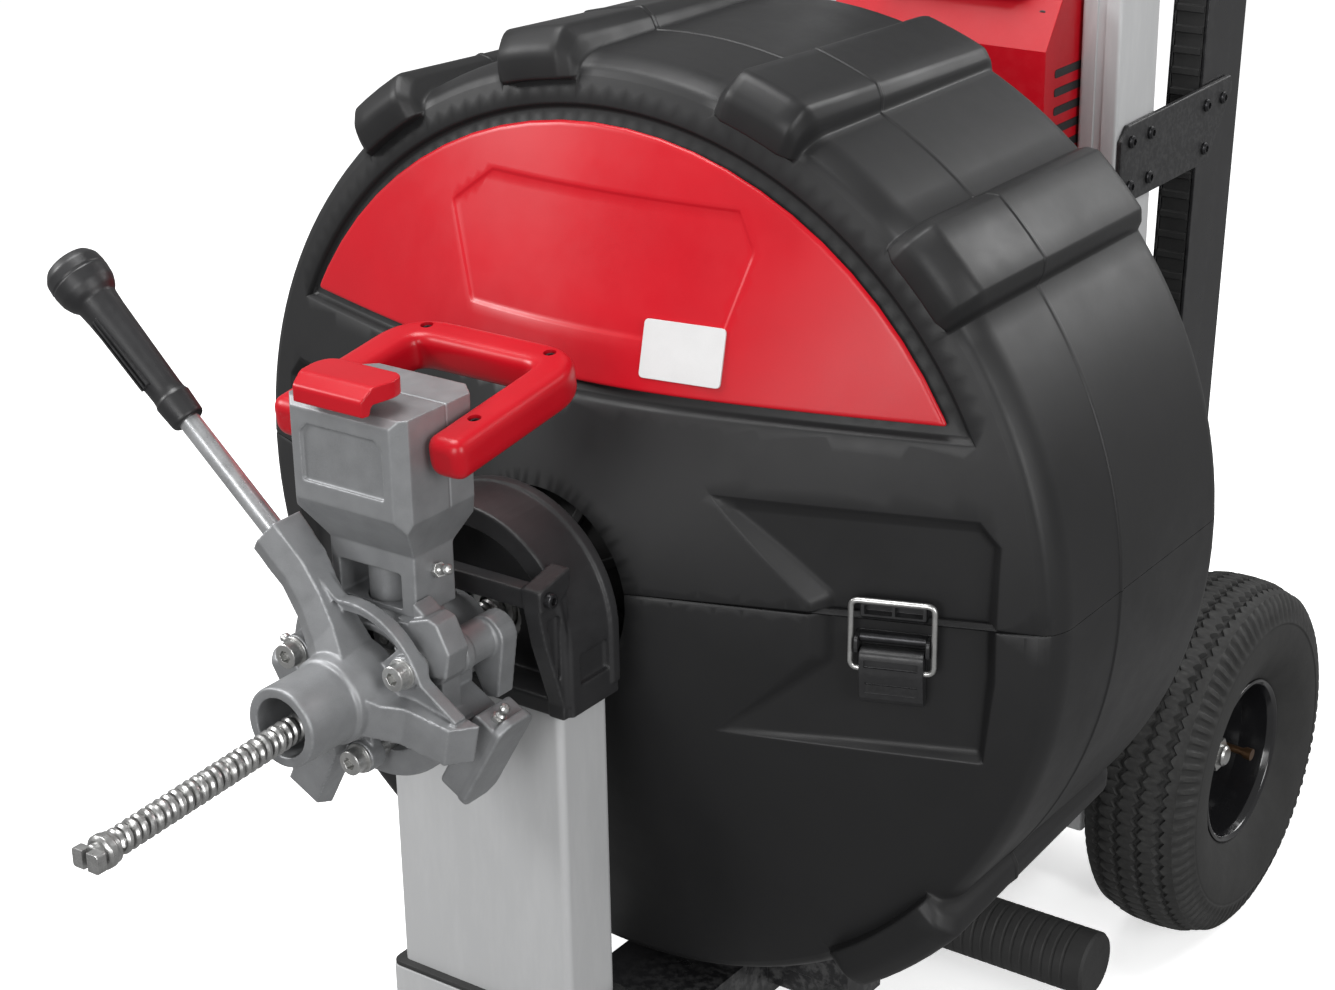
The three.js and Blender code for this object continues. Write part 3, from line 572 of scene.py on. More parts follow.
def depth_inside(x, z, outline):
    """Distance to the outline, above zero inside it."""
    point = Vector((x, z))
    nearest, inside = 1e9, False
    for a, b in zip(outline, outline[1:] + outline[:1]):
        start, along = Vector(a), Vector(b) - Vector(a)
        t = max(0, min(1, (point - start).dot(along) / along.length_squared))
        nearest = min(nearest, (point - start - along * t).length)
        if (a[1] > z) != (b[1] > z) and x < a[0] + (z - a[1]) * (b[0] - a[0]) / (b[1] - a[1]):
            inside = not inside
    return nearest if inside else -nearest


def ramp(distance, slope, soft):
    """Height of a slope that starts at distance 0, with its foot rounded over 2 * soft."""
    if distance > soft:
        return slope * distance
    return slope * max(0.0, distance + soft) ** 2 / (4 * soft)


def shell_front(x, z):
    """The Y of the shell's front at a point: the cone with its groove, recesses and seam."""
    radius = hypot(x, z)
    y = cone(radius)
    y += GROOVE["depth"] * soft_step((groove_inside(radius, z) + 0.8) / GROOVE["wall"])
    side_x = abs(x)
    if 95 < side_x < 275 and -85 < z < 80:
        turn = LATCH["turn"]
        aside = side_x - LATCH["x"] + RECESS_FLOOR * sin(turn)
        floor = LATCH["y"] + RECESS_FLOOR * cos(turn) + math.tan(turn) * aside
        full = max(0.0, floor - y)
        walls = ramp(depth_inside(side_x, z, RECESS_EDGE), RECESS_SLOPE, 0.6)
        gap = max(0.0, 1 - abs(full - walls))
        y += max(0.0, min(full, walls) - gap * gap / 4)
    return y + SEAM_DEPTH * max(0.0, 1 - abs(z - SPLIT_Z) / SEAM_WIDTH)


def ring_angles():
    """Angles of the shell's meridians: even ones, and close ones at each edge of a lug."""
    near_edges = (1.8, 0.8, -0.2, -1.2, -2.2, -3.4, -4.8, -6.4, -8, -9.6)
    angles = set()
    for middle, half in LUGS:
        for edge in near_edges:
            for sign in BOTH:
                turn = math.degrees(math.atan((half + edge) / LUG_R))
                angles.add(round((middle + sign * turn) % 360, 3))
    blocked = sorted(angles)
    for i in range(144):
        even = 2.5 * i
        far = all(abs((even - a + 180) % 360 - 180) > 0.5 for a in blocked)
        if far and abs((even - 1.6 + 180) % 360 - 180) > 1.2 and abs(even - 178.4) > 1.2:
            angles.add(even)
    return sorted(angles)


def lug_share(angle):
    """How much of a lug stands at this angle: 1 on a lug's top, 0 beside it."""
    share = 0.0
    for middle, half in LUGS:
        turn = radians((angle - middle + 180) % 360 - 180)
        if abs(turn) > 0.4:
            continue
        inside = half - abs(math.tan(turn)) * LUG_R
        share = max(share, 0.55 * soft_step((inside + 1.5) / 4.5) + 0.45 * soft_step((inside - 1) / 9))
    return share


# The rim's section between the lugs and on a lug, as radius and Y, with a moulded ridge in both. They
# have the same number of points, so that one can turn into the other.
RIDGE = [(298, 205), (298.8, 206), (298.8, 208.4), (298, 209.4)]
PLAIN_RIM = [(284, cone(284)), (287, cone(287)), (292, 129), (298, 141), *RIDGE, (298, 336), (290, 348),
    (130, 391.5), (70, 391.5)]
LUG_RIM = [(284, cone(284)), (286, 117.4), (303, 117.4), (315.4, 128), *[(r + 14, y) for r, y in RIDGE],
    (307.5, 340), (290, 348), (130, 391.5), (70, 391.5)]
PLAIN_ROUND = [0, 0.3, 5, 7, 0.3, 0.3, 0.3, 0.3, 6, 8, 8, 0]
LUG_ROUND = [0, 2, 5, 5, 0.3, 0.3, 0.3, 0.3, 8, 4, 8, 0]


class Plan:
    """Points and edges in the XZ plane, from which a skin is raised to its heights in Y."""

    def __init__(self):
        self.points, self.edges = [], []

    def add(self, chain, closed=True):
        first, count = len(self.points), len(chain)
        self.points.extend(chain)
        self.edges.extend((first + i, first + (i + 1) % count)
            for i in range(count if closed else count - 1))

    def raise_faces(self, shape, height, wanted):
        flat = geometry.delaunay_2d_cdt([Vector(p) for p in self.points], self.edges, [], 0, 1e-4)
        made = [shape.verts.new((p.x, height(p.x, p.y), p.y)) for p in flat[0]]
        for triangle in flat[2]:
            if wanted([flat[0][i] for i in triangle]):
                shape.faces.new([made[i] for i in triangle])


def facing_front(shape):
    """The skin without its loose points, with the normals of its front turned to -Y."""
    bmesh.ops.delete(shape, geom=[v for v in shape.verts if not v.link_faces], context="VERTS")
    bmesh.ops.recalc_face_normals(shape, faces=shape.faces)
    if sum(f.normal.y for f in shape.faces if f.calc_center_median().y < 120) > 0:
        bmesh.ops.reverse_faces(shape, faces=shape.faces)
    return shape


def shell_half(upper):
    """One half of the shell as an open skin, which is then given its wall."""
    limit = SPLIT_Z + (0.2 if upper else -0.2)
    sign = 1 if upper else -1
    plain = fillet(PLAIN_RIM, PLAIN_ROUND, 3, closed=False)
    lug = fillet(LUG_RIM, LUG_ROUND, 3, closed=False)
    first, last = (2.4, 177.6) if upper else (180.6, 359.4)
    kept = [a for a in ring_angles() if first < a < last]
    # A meridian is an angle or, beside the seam, its side and its distance from the split.
    turns = [(sign, 0), (sign, SEAM_WIDTH), *kept, (-sign, SEAM_WIDTH), (-sign, 0)]
    shape = bmesh.new()
    columns = []
    for turn in turns:
        by_seam = isinstance(turn, tuple)
        share = 0.0 if by_seam else lug_share(turn)
        column = []
        for (r0, y0), (r1, y1) in zip(plain, lug):
            radius, y = r0 + (r1 - r0) * share, y0 + (y1 - y0) * share
            angle = turn
            if by_seam:
                side, step = turn
                angle = math.degrees(math.asin((limit + sign * step) / radius))
                angle = angle if side > 0 else 180 - angle
                y += SEAM_DEPTH if step == 0 and y < 130 else 0
            x, z = polar(radius, angle)
            column.append(shape.verts.new((x, y, z)))
        columns.append(column)
    for near, far in zip(columns, columns[1:]):
        for i in range(len(near) - 1):
            shape.faces.new((near[i], near[i + 1], far[i + 1], far[i]))

    # The front is triangulated between the rim's first ring and the nose, on its own features.
    plan = Plan()

    def keep(x, z):
        return NOSE_R + 1.5 < hypot(x, z) < FRONT_R - 3 and sign * (z - limit) > 1

    def on_half(corners):
        x, z = sum(p.x for p in corners) / 3, sum(p.y for p in corners) / 3
        return NOSE_R - 0.05 < hypot(x, z) < FRONT_R - 0.02 and sign * (z - limit) > 0

    rim = [(column[0].co.x, column[0].co.z) for column in columns]
    nose_angle = math.degrees(math.asin(limit / NOSE_R))
    nose = arc(NOSE_R, nose_angle if upper else 360 + nose_angle, 180 - nose_angle, 60)
    plan.add([*rim, *reversed(nose)])
    for step in (SEAM_WIDTH / 2, SEAM_WIDTH):
        z = limit + sign * step
        for side in BOTH:
            start, end = NOSE_R + 2, math.sqrt(FRONT_R ** 2 - z * z) - 2
            plan.add([(side * (start + (end - start) * i / 90), z) for i in range(91)], closed=False)
    if upper:
        for grow in (0.8, -0.5, -1.8, -3.0, -4.2):
            radius, chord = GROOVE["radius"] + grow, GROOVE["chord"] - grow
            start = math.degrees(math.asin(chord / radius))
            bow = arc(radius, start, 180 - start, 110)
            line = [(bow[-1][0] + (bow[0][0] - bow[-1][0]) * i / 90, chord) for i in range(1, 90)]
            plan.add([*bow, *line])
    for side in BOTH:
        for grow in (0.7, 0, -0.7):
            chain = [(side * x, z) for x, z in divided(inset(RECESS_EDGE, -grow), 3, 2)]
            run = []
            # The runs of the edge that lie on this half; the last point ends the last run.
            for point in [*chain, chain[0], (0, 0)]:
                if keep(*point):
                    run.append(point)
                    continue
                if len(run) > 1:
                    plan.add(run, closed=False)
                run = []
    # A fine grid over the recesses, and a coarse one over the rest of the cone.
    fine, (x0, x1), (z0, z1) = 1.9, (99, 269), (-82, 80)
    for i in range(int((x1 - x0) / fine)):
        for j in range(int((z1 - z0) / fine)):
            x, z = x0 + i * fine + (j % 2) * fine / 2, z0 + j * fine * 0.92
            inside = depth_inside(x, z, RECESS_EDGE)
            if keep(x, z) and (inside > 1.6 or -4.5 < inside < -1.6):
                plan.points.extend([(x, z), (-x, z)])
    for ring in range(9, 36):
        radius = 8 * ring
        for step in range(144):
            x, z = polar(radius, 2.5 * step + (ring % 2) * 1.25)
            clear = depth_inside(abs(x), z, RECESS_EDGE) < -6
            if keep(x, z) and clear and not -2.5 < groove_inside(radius, z) < 6:
                plan.points.append((x, z))
    plan.raise_faces(shape, shell_front, on_half)
    bmesh.ops.remove_doubles(shape, verts=shape.verts, dist=0.12)
    return facing_front(shape)


def give_wall(shape, thickness):
    obj = new_object("skin", shape)
    wall = obj.modifiers.new("wall", "SOLIDIFY")
    wall.thickness, wall.offset = thickness, -1
    apply_modifiers(obj)
    return taken(obj)


def panel_shape():
    """The red front panel: a segment of the cone with rounded edges and a plain sunk field."""
    rise, field_depth = 1.7, 0.9
    radius, chord = PANEL_R - 0.8, PANEL_CHORD + 0.8
    start = math.degrees(math.asin(chord / radius))
    bow = arc(radius, start, 180 - start, 96)
    outline = fillet([bow[0], *bow[1:-1:4], bow[-1]], [5] + [0] * len(bow[1:-1:4]) + [5], 4)
    field = [(-104, 205), (-75, 227), (99, 227), (112, 206), (99, 152), (-75, 152)]

    def height(x, z):
        edge = min(1.0, max(0.0, depth_inside(x, z, outline)) / 1.7)
        y = cone(hypot(x, z)) - rise * math.sqrt(max(0.0, 1 - (1 - edge) ** 2)) + 0.4
        return y + field_depth * soft_step((depth_inside(x, z, field) + 1) / 2.5)

    def on_panel(corners):
        middle = sum(corners, Vector((0, 0))) / 3
        return depth_inside(middle.x, middle.y, outline) > 0

    plan = Plan()
    dense = divided(outline, 5)
    for pull in (0, 0.15, 0.45, 0.9, 1.7, 3.0):
        plan.add(inset(dense, pull) if pull else dense)
    for pull in (-1.0, -0.2, 0.6, 1.5):
        plan.add(divided(inset(field, pull), 4))
    for i in range(-52, 53):
        for j in range(24, 53):
            x, z = 5 * i + (j % 2) * 2.5, 5 * j
            if depth_inside(x, z, outline) > 5 and abs(depth_inside(x, z, field)) > 2.5:
                plan.points.append((x, z))
    shape = bmesh.new()
    plan.raise_faces(shape, height, on_panel)
    return give_wall(facing_front(shape), PANEL_WALL)


def latch_place(sign):
    return (ON_AXIS @ Matrix.Translation((sign * LATCH["x"], LATCH["y"], LATCH["z"]))
        @ Matrix.Rotation(sign * LATCH["turn"], 4, "Z"))


def make_shell():
    for name, upper, node in (("upper", True, "enclosure_upper"), ("lower", False, "enclosure_lower")):
        shape = give_wall(shell_half(upper), SHELL_WALL)
        body = "upper_shell" if upper else "root"
        piece(f"drum_shell_{name}", shape, ON_AXIS, body, "shell_black", SHELL, [node], 50, weighted=False)
    piece("front_panel_skin", panel_shape(), ON_AXIS, "upper_shell", "red_plastic", RED, ["front_panel"], 60,
        weighted=False)
    # A small blank plate on the panel, set on the cone's slope.
    x, z = 79.3, 148
    angle, distance = math.atan2(z, x), hypot(x, z)
    slope = math.atan(CONE_SLOPE)
    plate = prism(fillet(rect(-25.5, 25.5, -17, 17), 3), -0.9, 1.0, "y", 0.4)
    normal_turn = Matrix.Rotation(slope * cos(angle), 4, "Z") @ Matrix.Rotation(-slope * sin(angle), 4, "X")
    place = ON_AXIS @ Matrix.Translation((x, cone(distance) - 1.3, z)) @ normal_turn
    piece("panel_blank_plate", plate, place, "upper_shell", "bright_steel", BADGE)


def make_latches():
    for side, sign in SIDES:
        place = latch_place(sign)
        keeper = prism(fillet(rect(-19, 19, 13, 21.8), 1.4, 3), 1.2, 10, "y", 0.7)
        pockets = [block(x0, x1, 0, 7.5, 14.6, 20.4, 0.2, 0.6) for x0, x1 in ((-16.8, -0.8), (0.8, 16.8))]
        piece(f"latch_keeper_{side}", cut(keeper, *pockets), place, "upper_shell", "shell_black", GRIP)
        ear = fillet([(-4, 2), (-4, -8), (9.6, -12), (9.6, 2)], 3, 3)
        ears = [prism(ear, s * 20.6 - 1.1, s * 20.6 + 1.1, "x", 0.4) for s in BOTH]
        foot = block(-21.5, 21.5, 8.6, 9.8, -14, 2, 0.3, 1)
        piece(f"latch_hinge_{side}", merge(*ears, foot), place, "root", "black_grip", GRIP)
        profile = fillet([(8.3, -39), (8.3, -8), (5.5, -6), (-1, -5.4), (-4.4, -7.6), (-5, -11), (-5, -20),
            (-2, -36), (2, -41), (7, -41)], 1.4, 3)
        plate = prism(profile, -18.6, 18.6, "x", 0.8)
        slots = [block(-15, 15, -8, -2.6 + 0.3 * i, -27 - 6 * i, -25.4 - 6 * i, 0.2, 0.4) for i in range(2)]
        window = block(-15.5, 15.5, -8, -3.4, -16.2, -11.2, 0.3, 0.8)
        piece(f"latch_lever_skin_{side}", cut(plate, *slots, window), place, f"latch_lever_{side}",
            "black_grip", GRIP, [f"latch_{side}_lever"])
        barrel = rod(3.1, -19.6, 19.6, "x", (3.6, -0.2), 0.7, 28)
        piece(f"latch_hinge_barrel_{side}", barrel, place, "root", "bright_steel", DARK)
        corners = fillet(rect(-24, 24, -18, 24), 4.5, 5)
        loop = tube([(x, -1, z) for x, z in corners], 1.7, 12, closed=True)
        piece(f"latch_bail_wire_{side}", loop, place, f"latch_bail_{side}", "bright_steel", STEEL,
            [f"latch_{side}_bail"])


# ------------------------------------------------------------------ feed head
# Angles stand in degrees about the cable's line, from +X towards +Z.
BARREL_CIRCLE, BARREL_ANGLES = 46, (23, -97, 172)
ROLLER_ANGLES = {"top": 90, "right": -30, "left": -150}
# The rollers' plane, and how far each roller's pin stands from the cable's line.
ROLLER_Y, PIN_R = -84, 18.6


def make_feed_body():
    rim = cut(lathe(fillet(rect(0, 60, -103, -88), [0, 1.5, 1.5, 0], 3), 96),
        block(49, 70, -110, -80, -14, 60, 0.2, 0.5))
    core = rod(40, -89, -66, "y", (0, 0), 1, 64)
    neck = lathe([(0, -67), (27, -67), (25.5, -60), (25.5, -30.4), (0, -30.4)], 64)
    barrels = [rod(11.5, -104, -52, "y", polar(BARREL_CIRCLE, a), 1, 40) for a in BARREL_ANGLES]
    collars = [rod(12.8, -88, -81, "y", polar(BARREL_CIRCLE, a), 0.6, 40) for a in BARREL_ANGLES]
    shoulder = prism([(18, 38), (44, 47), (50, 45), (58, 29), (55, 14), (20, 8)], -107, -90, "y", 0.8)
    ear = [(33, 4), *reversed(arc(12.5, -8, 180, 12, (45.5, 19))), (53, -16), (44, -18)]
    ears = [prism([(s * x, z) for x, z in ear], -62, -48.4, "y", 0.8) for s in BOTH]
    guides = [moved(block(20, 58.5, ROLLER_Y - 15.5, ROLLER_Y + 15.5, -15.5, 15.5, 1, 3), about_y(a))
        for a in (ROLLER_ANGLES["right"], ROLLER_ANGLES["left"])]
    throat = block(-31, 31, -112, -60, 40.6, 64, 0.2, 0.5)
    holes = [moved(rod(13.2, 20, 75, "x", (ROLLER_Y, 0), 0.2, 40), about_y(a))
        for a in ROLLER_ANGLES.values()]
    trough = lathe(rect(31, 44.5, -110, -94), 72)
    body = cut(merge(rim, core, neck, *barrels, *collars, *ears, shoulder, *guides), trough, throat,
        rod(27, -106, -67, "y", (0, 0), 0.1, 64), rod(18, -80, -20, "y", (0, 0), 0.1, 48), *holes)
    piece("feed_body_casting", cast(body, 0.8, 1, 60000), ON_AXIS, "root", "grey_casting", CASTING,
        ["feed_body"], 60)
    screws = [moved(socket_screw(5.2, 4.5, 2.7), aimed((s * 45.5, -62, 19), (0, -1, 0))) for s in BOTH]
    piece("ear_screws", merge(*screws), ON_AXIS, "root", "bright_steel", DARK)


def make_tower():
    front = mirrored([(30, 40), (30, 76), (41.5, 102), (41.5, 160.5)])
    side = [(-99, 40), (-99, 76), (-118, 104), (-118, 156.5), (-114, 160.5), (-50, 160.5), (-50, 96),
        (-66, 74), (-66, 40)]
    plan = [(-41.5, -110.5), (-34.5, -118), (34.5, -118), (41.5, -110.5), (41.5, -60), (30.5, -50),
        (-30.5, -50), (-41.5, -60)]
    outside = common(prism(front, -119, -49), prism(side, -42, 42, "x"), prism(plan, 39, 161, "z"))
    hinge = block(-10, 10, -104, -96, 158, 167.4, 0.6, 1.5)
    plaque = fillet(mirrored([(28.5, 115), (28.5, 143), (23.5, 148)]), 1, 3)
    parting = [block(s * 41.5 - 0.7, s * 41.5 + 0.7, -80.5, -79.3, 100, 163, 0.1, 0.2) for s in BOTH]
    roof_line = block(-42, 42, -80.5, -79.3, 159.8, 163, 0.1, 0.2)
    tools = [rod(40.4, -109, -47, "y", (0, 0), 0.1, 96), rod(13.3, 30, 150, "z", (0, ROLLER_Y), 0.1, 40),
        block(-24, 20, -110, -76, 43.5, 64, 0.5, 1.5), prism(plaque, -121, -116.2, "y"), *parting, roof_line]
    body = cut(merge(outside, hinge), *tools)
    piece("feed_tower_casting", cast(body, 0.7, 1, 80000), ON_AXIS, "root", "grey_casting", CASTING,
        ["feed_tower"], 60)
    fitting = moved(nipple(), aimed((30, -81, 63), (1, -0.25, 0.35)))
    piece("tower_grease_nipple", fitting, ON_AXIS, "root", "bright_steel", STEEL)

    side = fillet([(-91, 177.8), (-117.5, 177.8), (-125.8, 172), (-125.8, 162.7), (-120.7, 162.7),
        (-119, 168.2), (-91, 168.2)], [3, 2, 2, 1, 1, 1, 1], 3)
    plan = fillet(mirrored([(24, -127), (27.8, -104), (26, -96), (17, -90.5)]), 3, 3)
    clip = common(prism(side, -28, 28, "x"), prism(plan, 160, 180, "z"))
    piece("release_clip_skin", cast(clip, 0.6, 3, 16000), ON_AXIS, "clip", "red_plastic", RED,
        ["release_clip"], 60)
    knuckle = rod(2.6, -9.6, 9.6, "x", (-95, 171), 0.4, 24)
    piece("release_clip_pin", knuckle, ON_AXIS, "clip", "bright_steel", STEEL)


def make_carry_handle():
    place = ON_AXIS @ Matrix.Translation((0, -95, 138)) @ Matrix.Rotation(radians(8), 4, "X")
    reach, front, back = 54.7, -5.4, 103.8
    corners = [(reach, front), (reach, back), (-reach, back), (-reach, front)]
    centre = fillet(corners, [0, 22, 22, 0], 10, closed=False)
    dense = divided(centre, 12, closed=False)
    section = fillet(rect(-12.1, 12.1, -11.8, 11.8), 8.5, 6)
    rounding = 7.0
    ends = [(rounding * (1 - cos(pi / 2 * i / 5)), 1 - 0.62 * (1 - sin(pi / 2 * i / 5))) for i in range(6)]
    stations = [((reach, front + d), s, (0, 1)) for d, s in ends]
    for i in range(1, len(dense) - 1):
        along = Vector(dense[i + 1]) - Vector(dense[i - 1])
        if dense[i][1] > front + rounding + 2:
            stations.append((dense[i], 1.0, tuple(along.normalized())))
    stations += [((-reach, front + d), s, (0, -1)) for d, s in reversed(ends)]
    loops = []
    for (x, y), scale, (dx, dy) in stations:
        loops.append([(x - dy * u * scale, y + dx * u * scale, v * scale) for u, v in section])
    shape = skin(loops)
    screws = [(reach, 24), (44, back), (-44, back), (-reach, 24)]
    wells = [rod(3.8, 8.6, 14, "z", spot, 0.2, 24) for spot in screws]
    piece("carry_handle_skin", cut(shape, *wells), place, "root", "red_plastic", RED, ["carry_handle"], 40)
    heads = [moved(socket_screw(3.4, 2.2, 1.9), Matrix.Translation((x, y, 8.0))) for x, y in screws]
    piece("carry_handle_screws", merge(*heads), place, "root", "bright_steel", DARK)


def make_rollers():
    for side, angle in ROLLER_ANGLES.items():
        place = ON_AXIS @ Matrix.Translation((0, ROLLER_Y, 0)) @ about_y(angle)
        cheeks = [block(13, 32, s * 8.8 - 1.2, s * 8.8 + 1.2, -7, 7, 0.4, 3) for s in BOTH]
        stem = rod(12.4, 31, 76 if side == "top" else 62, "x", (0, 0), 0.5, 48)
        shapes = [stem, *cheeks]
        if side != "top":
            outline = fillet([(-15, -28), (-15, 28), (-9, 34), (9, 34), (15, 28), (15, -28), (9, -34),
                (-9, -34)], 3, 3)
            shapes.append(block(61.3, 77.4, -14.8, 14.8, -27.8, 27.8, 1.2, 3))
            shapes.append(prism(outline, 75, 80.8, "x", 1.2))
        shape = cut(merge(*shapes), rod(3.4, -12, 12, "y", (PIN_R, 0), 0.1, 24))
        piece(f"{side}_carrier_casting", cast(shape, 0.75, 1, 30000), place, f"{side}_carrier",
            "grey_casting", CASTING, [f"{side}_roller_carrier"], 60)
        profile = fillet([(0, -10), (3, -10), (3, -7.2), (10, -7.2), (9.2, -3), (9.2, 3), (10, 7.2),
            (3, 7.2), (3, 10), (0, 10)], 0.5, 2)
        piece(f"{side}_roller_turned", lathe(profile, 48, "y", (PIN_R, 0)), place, f"{side}_roller_body",
            "bright_steel", STEEL, [f"{side}_roller"])
        if side != "top":
            end = 1 if side == "right" else -1
            fitting = moved(nipple(), aimed((71, -5, end * 26.5), (0, 0, end)))
            piece(f"{side}_carrier_nipple", fitting, place, f"{side}_carrier", "bright_steel", STEEL)
    turns, wire = 7, 1.7
    steps = 24 * turns
    path = []
    for i in range(steps + 1):
        angle = 2 * pi * turns * i / steps
        path.append((9 * cos(angle), ROLLER_Y + 9 * sin(angle), 78.5 + 65 * i / steps))
    piece("pressure_spring_wire", tube(path, wire, 10), ON_AXIS, "root", "spring_steel", SPRING,
        ["pressure_spring"])


# The line of the lever's arm and bar, which runs up to the left at the yoke's front.
LEVER_LINE = Matrix.Translation((16.4, 0, 18.6)) @ about_y(138.5)
LEVER_Y = -118
BOLT_CIRCLE, BOLT_ANGLES = 42, (27, -87, 164)
# Each arm's angle and how far it reaches.
YOKE_ARMS = ((-12, 79), (-118, 90))


def yoke_arm(angle, reach):
    """An arm that runs out from the hub, with a front that slopes back to its oblique end."""
    front = [(16, 13), (30, 9.5), (41, 11.5), (reach, 11.5), (reach, -11.5), (41, -11.5), (30, -12),
        (16, -13)]
    plan = [(16, -141), (30, -134), (43, -128.5), (reach - 8, -126), (reach, -111), (reach, -109.4),
        (16, -109.4)]
    return moved(common(prism(front, -142, -109.4, "y", 0.6), prism(plan, -20, 20, "z")), about_y(angle))


def make_yoke():
    hub = lathe([(0, -143), (23, -143), (25, -141.4), (26.6, -128), (27.4, -118), (27.4, -109.2),
        (0, -109.2)], 72)
    nozzle = lathe(fillet([(0, -178), (22.4, -178), (23, -176.8), (23, -141), (0, -141)], 0.8, 2), 72)
    edge = [(-24.6, 66), (-9, 52), *arc(51.5, 98, 17, 14), (58, 9), (73, -1)]
    plate = [*edge, (60, -14), (20, -16), (-22, -4), (-30, 22), (-36, 52)]
    sheet = cut(prism(plate, -121, -112, "y", 0.4), prism(inset(plate, 2.4), -124, -117.8))
    window = [*arc(44, 118, 44, 12), *arc(27, 44, 118, 10)]
    blade = []
    for x, half, front, back, aside in ((12, 16, -139, -109.4, 17), (30, 14.5, -133, -109.4, 12),
            (48, 13, -130, -109.4, 6.5), (66, 12.5, -130, -107, 1.5), (92.4, 12.5, -131, -105.6, 0)):
        blade.append([(x, y, z + aside) for y, z in ((back, -half), (front + 4, -half), (front, 2),
            (front + 4, half), (back, half))])
    bosses = [rod(9.4, -121.4, -110, "y", polar(BOLT_CIRCLE, a), 0.5, 36) for a in BOLT_ANGLES]
    webs = [moved(block(20, 42, -117.6, -110, -7, 7, 0.5, 1), about_y(a)) for a in BOLT_ANGLES]
    body = cut(merge(cut(sheet, prism(window, -126, -108)), hub, nozzle, moved(skin(blade), LEVER_LINE),
        *bosses, *webs, *[yoke_arm(*shape) for shape in YOKE_ARMS]),
        rod(17, -180, -100, "y", (0, 0), 0.1, 64), moved(rod(6.7, 60, 100, "x", (LEVER_Y, 0), 0.1, 32),
        LEVER_LINE))
    piece("feed_yoke_casting", cast(body, 0.8, 1, 110000), ON_AXIS, "yoke", "grey_casting", CASTING,
        ["feed_yoke"], 60)
    bolts = [moved(socket_screw(7.2, 7.6, 3.7, washer=8.8), aimed((x, -121.4, z), (0, -1, 0)))
        for x, z in (polar(BOLT_CIRCLE, a) for a in BOLT_ANGLES)]
    shanks = [rod(6, -112, -96, "y", polar(BOLT_CIRCLE, a), 0.5, 28) for a in BOLT_ANGLES]
    piece("yoke_shoulder_bolts", merge(*bolts, *shanks), ON_AXIS, "yoke", "bright_steel", STEEL)
    bar = lathe(fillet(rect(0, 6.25, 60, 171), 0.5, 2), 40, "x", (LEVER_Y, 0))
    piece("lever_bar", bar, ON_AXIS @ LEVER_LINE, "yoke", "bright_steel", ROD, ["lever_rod"])
    profile = fillet([(0, 170.4), (8.8, 170.4), (9.8, 172), (10.6, 186), (9.7, 187.5), (9.4, 191),
        (10.2, 215), (11.4, 248), (12.2, 257), (14.6, 260), (16.7, 265), (17.4, 272), (17.1, 272.6),
        (17.1, 273.4), (17.4, 274), (16.8, 280), (13.5, 284.8), (7, 286.8), (0, 287)], 1.2, 2)
    grip = lathe(profile, 64, "x", (LEVER_Y, 0))
    ribs = [block(198, 246, LEVER_Y - 12.1 + 0.35 * abs(i - 1), LEVER_Y - 8, -3.6 + 2.9 * i, -2.2 + 2.9 * i,
        0.4, 0.6) for i in range(3)]
    piece("lever_grip_skin", merge(grip, *ribs), ON_AXIS @ LEVER_LINE, "yoke", "black_grip", GRIP,
        ["lever_grip"])


# ------------------------------------------------------------------ drain cable
# The working end's radius, where it leaves the straight line, and its fall for each millimetre after.
CABLE_R, CABLE_BEND_Y, CABLE_DROOP = 7.95, -92, 0.058


def cable_point(y):
    """The centre line of the working end at Y = y: straight, and then drooping evenly."""
    bend = max(0.0, CABLE_BEND_Y - y)
    soft = min(1.0, bend / 30)
    return Vector((0, y, -CABLE_DROOP * bend * (0.5 + 0.5 * soft)))


def make_cable():
    low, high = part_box("cable_end_coupling")
    tip, tail = low.y / MM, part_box("drain_cable")[1].y / MM
    coupling_end = high.y / MM
    wire, pitch, steps = 2.15, 5.25, 18
    count = int((tail - coupling_end - 2) / pitch)
    reach = CABLE_R - wire
    path = []
    for i in range(count * steps + 1):
        y = coupling_end + 1.8 + pitch * i / steps
        angle = 2 * pi * i / steps
        path.append(cable_point(y) + Vector((reach * cos(angle), 0, reach * sin(angle))))
    coils = tube(path, wire, 8)
    core = tube([cable_point(coupling_end + (tail - 0.5 - coupling_end) * i / 60) for i in range(61)],
        4.7, 16)
    piece("drain_cable_wire", merge(coils, core), ON_AXIS, "cable", "spring_steel", SPRING, ["drain_cable"])
    # The coupling: stepped collar, waist, and a flat slotted tongue.
    drop = centre_of("cable_end_coupling").z - AXIS_Z
    place = ON_AXIS @ Matrix.Translation((0, 0, drop))
    collar = lathe(fillet([(0, tip + 9), (7.6, tip + 9), (9.4, tip + 10.4), (9.4, tip + 14.4),
        (8.6, tip + 15.4), (8.6, tip + 17.8), (0, tip + 17.8)], 0.4, 2), 48)
    waist = rod(6.2, tip + 5.5, tip + 10, "y", (0, 0), 0.3, 40)
    tongue = block(-9.2, 9.2, tip, tip + 6.4, -5.4, 5.4, 0.8, 2)
    slot = block(-1.7, 1.7, tip - 1, tip + 4.6, -8, 8, 0.1, 0.3)
    end = cut(merge(collar, waist, tongue), slot)
    piece("cable_coupling_turned", end, place, "cable", "bright_steel", SPRING, ["cable_end_coupling"])


